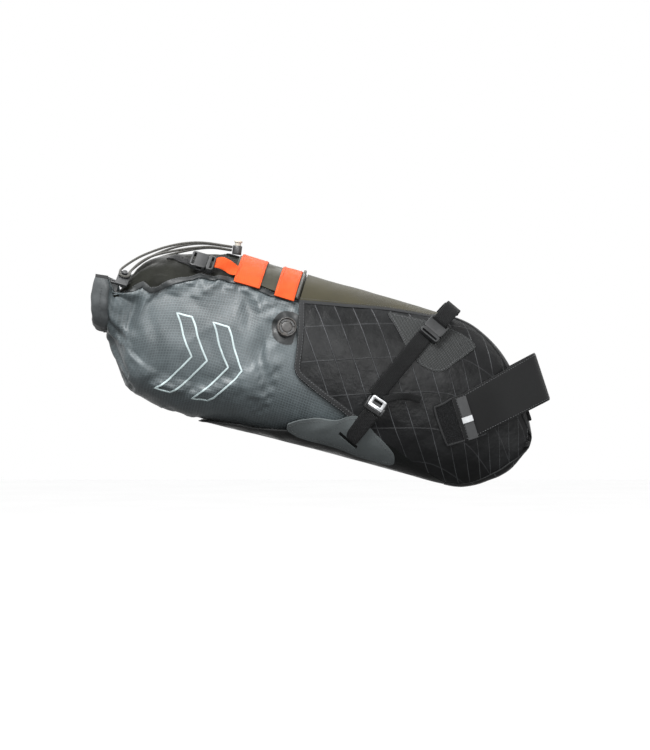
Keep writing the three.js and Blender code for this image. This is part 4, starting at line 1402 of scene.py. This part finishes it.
def local_frame(position, x, y, z, mirrored):
    """A hardware frame in the bag's millimetres, from one in the row frame's metres."""
    m = Matrix(
        (
            (x[0] * 0.001, y[0] * 0.001, z[0] * 0.001, position[0]),
            (x[1] * 0.001, y[1] * 0.001, z[1] * 0.001, position[1]),
            (x[2] * 0.001, y[2] * 0.001, z[2] * 0.001, position[2]),
            (0, 0, 0, 1),
        )
    )
    m = BAG.inverted() @ m
    return Matrix.Scale(-1, 4, (0, 1, 0)) @ m if mirrored else m


RAIL_BUCKLE = (
    (-0.12522, -0.05929, 0.05671), (0.76488, -0.05508, -0.64181), (0.57371, 0.51133, 0.63984),
    (0.29294, -0.85762, 0.42270)
)
VALVE = (
    (-0.30013, -0.08614, 0.06349), (0.96028, 0.04525, -0.27535), (0.26235, 0.18983, 0.94612),
    (0.09509, -0.98077, 0.17042)
)
RAIL_LOOP = [
    (16, 0.8), (16.2, 8), (18.5, 10.4), (27, 13.4), (38, 13.8), (45, 10.6), (49, 4), (49.6, -5), (51, -9.8),
    (55, -13.2),
]


# Runs of webbing: place along the bag, height, and how far it stands off the wall.
SIDE_STRAP_RUN = [(-142, 11), (-148, -2), (-165, -38), (-180, -70)]
SHOULDER_RUN = [(-412, 24, 6.5), (-405, 25, 8.6), (-397, 24.5, 8.2), (-389, 23.5, 6.4), (-382, 23, 6.0)]
STRAP_TAIL_RUN = [(-169, -72, 9.8), (-160, -66, 11.5), (-149, -62, 12.5), (-137, -60, 10.5), (-126, -60, 9.6)]
SHOULDER_TURN = 0.9


def ribbon(name, points, across, width, thick, step=2.5, relief=None):
    """Webbing along points, whose width lies as near as it can to a direction."""
    curve = smooth_curve(points, step)
    frames = []
    distance = 0.0
    for i, p in enumerate(curve):
        t = (curve[min(i + 1, len(curve) - 1)] - curve[max(i - 1, 0)]).normalized()
        want = across(i / (len(curve) - 1)) if callable(across) else across
        a = (want - t * want.dot(t)).normalized()
        if i:
            distance += (p - curve[i - 1]).length
        frames.append((p, a, a.cross(t).normalized(), distance))
    return sweep(name, frames, band_section(width, thick), relief=relief)


def lower_loop(side, s):
    """Webbing that comes down from the cam buckle and turns in through the wing's slot, doubled and sewn."""
    run = [
        (-179, -92, 8.6), (-183, -101, 8.4), (-188, -113, 8.2), (-192.5, -123, 7.8), (-195, -129, 6.6),
        (-196.2, -131.6, 3.4)
    ]
    pts = [Vector(wall(u, side_angle(u, w, s, 5.0), off)) for u, w, off in run]
    return ribbon(f"lower_loop_{side}", pts, Vector((0.93, 0, -0.40)), 20, 2.4)


def on_bag_wall(run, side):
    """Points off the wall, from places along the bag, heights and offsets."""
    return [Vector(wall(u, side_angle(u, w, side), off)) for u, w, off in run]


def make_shoulder(side, s):
    """The tab on the dry bag, and the orange strap that turns over on its way to the buckle."""
    middle = bag_frames([(u, side_angle(u, 24, s)) for u in (-468, -452, -437)], 1.8)
    tab = sweep(f"shoulder_webbing_{side}", middle, band_section(15, 1.6))
    place(tab, "dry_bag", MATERIALS["black_web"], [f"shoulder_tab_{side}"])
    n = Vector(wall_normal(-398, side_angle(-398, 24, s)))
    flat = n.cross(Vector((1, 0, 0))).normalized()

    def turned(f):
        turn = SHOULDER_TURN * math.sin(math.pi * f)
        return flat * math.cos(turn) + n * math.sin(turn)

    orange = ribbon(f"shoulder_orange_{side}", on_bag_wall(SHOULDER_RUN, s), turned, 15, 1.3)
    place(orange, "holster", MATERIALS["orange"], [f"shoulder_strap_{side}"])


def make_rail_loop(side, s):
    m = local_frame(*RAIL_BUCKLE, s > 0)
    pts = [m @ Vector((0, y, z)) for y, z in RAIL_LOOP]
    across = (m.to_3x3() @ Vector((1, 0, 0))).normalized()
    over = ribbon(f"rail_webbing_{side}", pts, across, 20, 1.8)
    place(over, "holster", MATERIALS["black_web"], [f"rail_loop_{side}"])


def make_straps():
    for side, s in SIDES.items():
        run = [(u, side_angle(u, w, s)) for u, w in densify(SIDE_STRAP_RUN, 4, False)]
        strap = strap_on_wall(f"side_strap_{side}", run, 20, 1.9, 6.6, 3.0)
        place(strap, "holster", MATERIALS["black_web"], [f"compression_strap_{side}"])
        loop = lower_loop(side, s)
        place(loop, "holster", MATERIALS["black_web"], [f"lower_strap_loop_{side}"])
        make_rail_loop(side, s)
        make_shoulder(side, s)
        free = ribbon(f"side_strap_tail_{side}", on_bag_wall(STRAP_TAIL_RUN, s), Vector((0.2, 0, 1)), 9, 1.5)
        place(free, "holster", MATERIALS["black_web"])


# ---------- the seat-post strap ----------
LEAN = BAG_TILT + POST_TILT
STRAP_RADIUS = 15.2
STRAP_THICK = 2.4


def from_post(p, y, a):
    return Vector((p * math.cos(LEAN) - a * math.sin(LEAN), y, p * math.sin(LEAN) + a * math.cos(LEAN)))


def wall_y(u, w, off):
    top, bottom, half = smooth_section(max(-514.0, min(18.0, float(u))))
    h = (top - bottom) / 2 + off
    x = abs(w - (top + bottom) / 2) / h
    return 0.0 if x >= 1 else float((half + off) * (1 - x**SQUARENESS) ** (1 / SQUARENESS))


def strap_row(s):
    """Where the strap's middle is in plan, s millimetres round it from the post's front, and its width."""
    arc = STRAP_RADIUS * math.radians(56)
    if s < arc:
        a = s / STRAP_RADIUS
        return STRAP_RADIUS * math.cos(a), STRAP_RADIUS * math.sin(a)
    start = (STRAP_RADIUS * math.cos(math.radians(56)), STRAP_RADIUS * math.sin(math.radians(56)))
    end = (-52.0, 46.0)
    length = math.dist(start, end)
    f = (s - arc) / length
    if f < 1:
        return start[0] + (end[0] - start[0]) * f, start[1] + (end[1] - start[1]) * f
    extra = (f - 1) * length
    return end[0] - extra, end[1] + extra * 0.2


def strap_point(s, t, side):
    """t runs from -1 at the lower edge to 1 at the upper one."""
    p, y = strap_row(s)
    f = min(1.0, max(0.0, (16.5 - p) / 106.0))
    a = -17.4 * f + t * (30.6 - 3.0 * f)
    q = from_post(p, y, a)
    lean_in = wall_y(q.x, q.z, 7.9)
    if p < -30:
        blend = float(smoothstep(-p, 30, 58))
        target = lean_in if lean_in > 0 else y
        y = y * (1 - blend) + max(target, 0) * blend
    y = max(y, lean_in if p < 2 else 0)
    return Vector((q.x, side * y, q.z))


def make_strap_half(name, side, body, replaces):
    along = list(np.linspace(0.0, 134.0, 62))
    across = np.linspace(-1, 1, 25)
    mid = np.array([[strap_point(s, t, side) for t in across] for s in along])
    ds = np.gradient(mid, axis=0)
    dt = np.gradient(mid, axis=1)
    n = np.cross(ds, dt)
    n /= np.linalg.norm(n, axis=-1, keepdims=True)
    if np.sum(n[..., 1]) * side < 0:
        n = -n
    edge = np.ones((len(along), len(across)))
    edge[:, 0] = edge[:, -1] = edge[-1, :] = 0.35
    out = mid + n * (STRAP_THICK / 2 * edge)[..., None]
    back = mid - n * (STRAP_THICK / 2 * edge)[..., None]
    cols = len(across)
    tris = []
    for i in range(len(along) - 1):
        for j in range(cols - 1):
            k = i * cols + j
            tris.append((k, k + 1, k + cols + 1, k + cols))
    verts, faces = thick_shell(out.reshape(-1, 3), back.reshape(-1, 3), tris)
    cloth = [(s, t * 30) for s in along for t in across]
    strap = mesh_object(name, verts, faces, cloth + cloth)
    place(strap, body, MATERIALS["strap"], replaces)
    rows = []
    for t in (-0.9, 0.9):
        rows.append(
            [(out[i, int(round((t + 1) / 2 * (cols - 1)))], n[i, cols // 2]) for i in range(len(along) - 1)]
        )
    rows.append([(out[-3, j], n[-3, j]) for j in range(2, cols - 2)])
    thread = stitch_mesh(f"{name}_stitching", rows, 2.4, 1.2, 0.26)
    place(thread, body, MATERIALS["thread"])


def make_post_strap():
    make_strap_half("post_strap_left", 1, "holster", ["seatpost_strap"])
    make_strap_half("post_strap_flap", -1, "seatpost_flap", ["seatpost_flap"])
    path = []
    for f in np.linspace(-1.02, 0.9, 16):
        p = strap_point(123.0, f, -1)
        path.append(p + Vector((0, -2.1, 0)))
    tab = ribbon("flap_tab", path, Vector((-0.83, 0, -0.56)), 13, 1.4)
    place(tab, "seatpost_flap", MATERIALS["tab"], ["flap_pull_tab"])
    spot = path[6:9]
    shine = ribbon(
        "flap_reflector", [p + Vector((0, -1.2, 0)) for p in spot], Vector((-0.83, 0, -0.56)), 13.4, 0.7
    )
    place(shine, "seatpost_flap", MATERIALS["reflector"])


# ---------- cords ----------
BUNGEE = [
    (-399.5, -4.5, 52.5), (-424, -12, 49), (-446, -20, 41), (-467, -31, 30.5), (-487, -44, 18.5),
    (-499, -55, 6.5),
    (-506.9, -64.4, -7), (-506.9, -71.5, -12.7), (-508.6, -74.6, -15.4), (-513, -76, -16.6),
    (-517.4, -74.6, -15.4),
    (-519.1, -71.5, -12.7), (-518, -65.1, -7), (-507, -53, 7.5), (-494, -42, 20), (-475, -31, 34),
    (-454, -22, 45),
    (-432, -13, 52), (-399.8, -4, 56.6),
]
CORD_DIAMETER = 3.0


def make_bungees():
    for side, s in SIDES.items():
        pts = [Vector((u, -s * y, w)) for u, y, w in BUNGEE]
        cord, curve = tube(f"bungee_cord_{side}", pts, CORD_DIAMETER / 2, 2.5, 10)
        place(cord, None, MATERIALS["cord"], [f"bungee_{side}"])
        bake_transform(cord)


# ---------- the air valve ----------
def local_object(name, verts, faces, m, sharp=30):
    return mesh_object(
        name, [m @ Vector(v) for v in verts], faces, [(v[0], v[1]) for v in verts], sharp=sharp
    )


def lathe(name, profile, m, segments=48, waves=0, depth=0.0):
    """A turned piece about its local z. The waves are finger grips round its widest part."""
    widest = max(r for r, _ in profile)
    verts, faces = [], []
    for r, z in profile:
        for k in range(segments):
            a = 2 * math.pi * k / segments
            grip = (
                depth * (0.5 + 0.5 * math.cos(waves * a)) * float(smoothstep(r, widest * 0.9, widest))
                if waves else 0
            )
            verts.append(((r - grip) * math.cos(a), (r - grip) * math.sin(a), z))
    for i in range(len(profile) - 1):
        for k in range(segments):
            j = (k + 1) % segments
            faces.append((i * segments + k, i * segments + j, (i + 1) * segments + j, (i + 1) * segments + k))
    faces.append(tuple(reversed(range(segments))))
    faces.append(tuple((len(profile) - 1) * segments + k for k in range(segments)))
    return local_object(name, verts, faces, m)


def arc_bar(r0, r1, a0, a1, z0, z1, steps=8):
    """A short curved bar, as points and faces."""
    verts = []
    for i in range(steps + 1):
        a = a0 + (a1 - a0) * i / steps
        verts += [(r * math.cos(a), r * math.sin(a), z) for r, z in ((r0, z0), (r1, z0), (r1, z1), (r0, z1))]
    faces = [(3, 2, 1, 0), tuple(4 * steps + k for k in range(4))]
    for i in range(steps):
        for k in range(4):
            a, b = 4 * i + k, 4 * i + (k + 1) % 4
            faces.append((a, b, b + 4, a + 4))
    return verts, faces


def make_valve():
    m = local_frame(*VALVE, False)
    welded = []
    for k in range(28):
        a = 2 * math.pi * k / 28
        welded.append((-304.5 + 20 * math.cos(a), -21.7 + 20.5 * math.sin(a)))
    welded = [(min(u, -294.0), w) for u, w in welded]
    disc = bag_patch("valve_welded_patch", [(u, side_angle(u, w, -1)) for u, w in welded], (-0.4, 0.55), 2.5)
    place(disc, "dry_bag", MATERIALS["seam"])
    base = lathe("valve_flange", [(4, 0), (12.2, 0), (12.6, 0.5), (12.6, 1.6), (12.1, 2.2), (4, 2.2)], m)
    place(base, "dry_bag", MATERIALS["rubber"], ["valve_base"])
    rim = [
        (3, 2.7), (11.2, 2.7), (12, 3.2), (12, 5.9), (11.5, 6.5), (10.4, 6.6), (9.8, 6.1), (9.4, 4.6),
        (6.8, 4.5), (6.3, 5.3), (5.2, 5.7), (2, 5.5)
    ]
    cap = lathe("valve_knob", rim, m, 72, 12, 0.55)
    place(cap, "valve_cap", MATERIALS["valve"], ["valve_cap"])
    verts, faces = [], []
    for k in range(4):
        a = math.pi / 4 + k * math.pi / 2
        v, f = arc_bar(6.9, 9.2, a - 0.42, a + 0.42, 4.3, 6.2)
        faces += [tuple(i + len(verts) for i in face) for face in f]
        verts += v
    ribs = local_object("valve_knob_ribs", verts, faces, m)
    place(ribs, "valve_cap", MATERIALS["plastic"])


# ---------- hardware kept from the frame ----------
HARDWARE = {
    "cam_buckle_body": ("plastic", "black_plastic", 0.5), "cam_lever": ("steel", "silver_metal", 0.55),
    "rail_buckle_socket": ("plastic", "black_plastic", 0.6),
    "rail_buckle_prongs": ("plastic", "black_plastic", 0.5),
    "shoulder_buckle_socket": ("plastic", "black_plastic", 0.6),
    "roll_clip": ("plastic", "black_plastic", 0.55),
    "shoulder_buckle_prongs": ("plastic", "black_plastic", 0.5),
    "cord_lock_barrel": ("barrel", "black_plastic", 0.5),
    "cord_lock_button": ("toggle", "grey_plastic", 0.5),
    "cord_lock_anchor": ("black_web", "black_webbing", 0.25),
}
HIDDEN_NODES = {
    "valve_seal": "rubber", "base_stiffener": "dark", "nose_stiffener": "dark",
    "roll_strip": "dark",
}


def rounded_copy(node, look, radius):
    """A moulding from its frame solid: flat faces joined up, and its sharp edges rounded."""
    source = frame["nodes"][node]
    mesh = source.data.copy()
    mesh.materials.clear()
    bm = bmesh.new()
    bm.from_mesh(mesh)
    bmesh.ops.remove_doubles(bm, verts=bm.verts, dist=1e-6)
    bmesh.ops.dissolve_limit(bm, angle_limit=math.radians(2), verts=bm.verts, edges=bm.edges)
    bmesh.ops.recalc_face_normals(bm, faces=bm.faces)
    sharp = [e for e in bm.edges if len(e.link_faces) == 2 and e.calc_face_angle(0) > math.radians(28)]
    bmesh.ops.bevel(
        bm, geom=sharp, offset=radius * 0.001, segments=2, profile=0.5, affect="EDGES", clamp_overlap=True,
        offset_type="OFFSET",
    )
    bmesh.ops.triangulate(bm, faces=[f for f in bm.faces if len(f.verts) > 4])
    for f in bm.faces:
        f.smooth = True
    for e in bm.edges:
        if len(e.link_faces) == 2 and e.calc_face_angle(0) > math.radians(50):
            e.smooth = False
    bm.to_mesh(mesh)
    bm.free()
    piece = bpy.data.objects.new(f"{node}_moulding", mesh)
    bpy.context.scene.collection.objects.link(piece)
    place(piece, source["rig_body"], MATERIALS[look], [node])
    return piece


def make_lock_spring():
    """The cord lock's spring: a rounded copy of its frame solid, with a mesh of its own."""
    spring = rounded_copy("cord_lock_spring", "steel", 0.1)
    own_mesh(spring)


def make_seatpost_pad():
    """The pad that rests on the post: cloth over foam, rounded at its edges, with two sewn channels."""
    source = frame["nodes"]["seatpost_pad"]
    mesh = source.data.copy()
    mesh.materials.clear()
    mesh.transform(source.matrix_world)
    pad = bpy.data.objects.new("seatpost_pad_cover", mesh)
    bpy.context.scene.collection.objects.link(pad)
    remesh = pad.modifiers.new("remesh", "REMESH")
    remesh.mode, remesh.voxel_size = "VOXEL", 0.0012
    smooth = pad.modifiers.new("smooth", "SMOOTH")
    smooth.factor, smooth.iterations = 0.5, 6
    mesh = bpy.data.meshes.new_from_object(pad.evaluated_get(bpy.context.evaluated_depsgraph_get()))
    pad.modifiers.clear()
    pad.data = mesh
    up = Vector((-0.309017, 0, 0.951057))
    heights = [v.co.dot(up) for v in mesh.vertices]
    low, high = min(heights), max(heights)
    draws = [(h - low) / (high - low) for h in heights]
    inward = [-v.normal for v in mesh.vertices]
    for v, f, n in zip(mesh.vertices, draws, inward):
        channel = max(math.exp(-(((f - at) * (high - low) / 0.0016) ** 2)) for at in (1 / 3, 2 / 3))
        v.co += n * (0.0007 * channel + 0.00012 * (1 + noise.noise(v.co * 260)))
    for face in mesh.polygons:
        face.use_smooth = True
    place(pad, "holster", MATERIALS["strap"], ["seatpost_pad"])


def dress_nodes():
    for name, obj in frame["nodes"].items():
        for key, (look, slot, radius) in HARDWARE.items():
            if name.startswith(key):
                rounded_copy(name, look, radius)
        for key, look in HIDDEN_NODES.items():
            if name.startswith(key):
                obj.data.materials.clear()
                obj.data.materials.append(MATERIALS[look])


# ---------- stage ----------
def plain_material(name, colour, roughness):
    s = Shader(name, colour, roughness)
    s.colour(s.mix(s.range(s.noise(3, 2), 0.3, 0.7), shade(colour, 0.98), colour))
    return s.material


FLOOR_HEIGHT = -0.42
FLOOR_SIZE = 16
SKY_FADE = (-0.5, -0.12, 0.25, 1.0)
LAMP_AIM = Vector((-0.25, 0, 0.03))
# Name, place, size and power of each lamp.
LAMPS = (
    ("key", (-0.75, -1.2, 1.25), 0.8, 74),
    ("fill", (0.5, -2.1, 0.3), 1.4, 30),
    ("rim", (-0.5, 1.5, 1.5), 1.4, 26),
    ("top", (-0.35, -0.25, 1.9), 1.2, 12),
)
CAMERA_AT = (-0.2538, -3.5, 0.0061)
CAMERA_REACH = 3.45
VIEW_WIDTH = 0.793


def make_sky():
    """An even white surround that darkens below the floor, so that the bag's underside is in shade."""
    world = bpy.data.worlds.new("studio")
    bpy.context.scene.world = world
    world.use_nodes = True
    nodes, links = world.node_tree.nodes, world.node_tree.links
    where, split, fade = (nodes.new(f"ShaderNode{kind}") for kind in ("TexCoord", "SeparateXYZ", "MapRange"))
    links.new(where.outputs["Generated"], split.inputs[0])
    links.new(split.outputs["Z"], fade.inputs["Value"])
    for socket, value in zip(fade.inputs[1:5], SKY_FADE):
        socket.default_value = value
    links.new(fade.outputs["Result"], nodes["Background"].inputs["Color"])
    bpy.context.scene.view_settings.view_transform = "Standard"


def make_stage():
    bpy.ops.mesh.primitive_plane_add(size=FLOOR_SIZE, location=(0, 0, FLOOR_HEIGHT))
    floor = bpy.context.object
    floor.name = "studio_floor"
    floor.data.materials.append(plain_material("studio_paper", (0.97, 0.97, 0.97), 0.9))
    floor.visible_diffuse = floor.visible_glossy = False
    make_sky()
    for name, at, size, power_w in LAMPS:
        data = bpy.data.lights.new(name, "AREA")
        data.energy = power_w
        data.size = size
        lamp = bpy.data.objects.new(name, data)
        lamp.location = at
        lamp.rotation_euler = (LAMP_AIM - Vector(at)).to_track_quat("-Z", "Y").to_euler()
        bpy.context.scene.collection.objects.link(lamp)
    camera = bpy.data.cameras.new("camera")
    camera.sensor_width = 36
    camera.sensor_fit = "HORIZONTAL"
    camera.lens = camera.sensor_width * CAMERA_REACH / VIEW_WIDTH
    eye = bpy.data.objects.new("camera", camera)
    eye.location = CAMERA_AT
    eye.rotation_euler = (math.radians(90), 0, 0)
    bpy.context.scene.collection.objects.link(eye)
    bpy.context.scene.camera = eye


make_stage()
make_dry_bag()
make_top_panel()
make_crown_end_seam()
make_emblem()
make_roll()
make_side_panels()
make_nose_strip()
make_top_cloth()
make_base()
make_bindings()
make_patches()
make_loop_patch()
make_harness()
make_straps()
make_post_strap()
make_bungees()
make_valve()
dress_nodes()
make_lock_spring()
make_seatpost_pad()
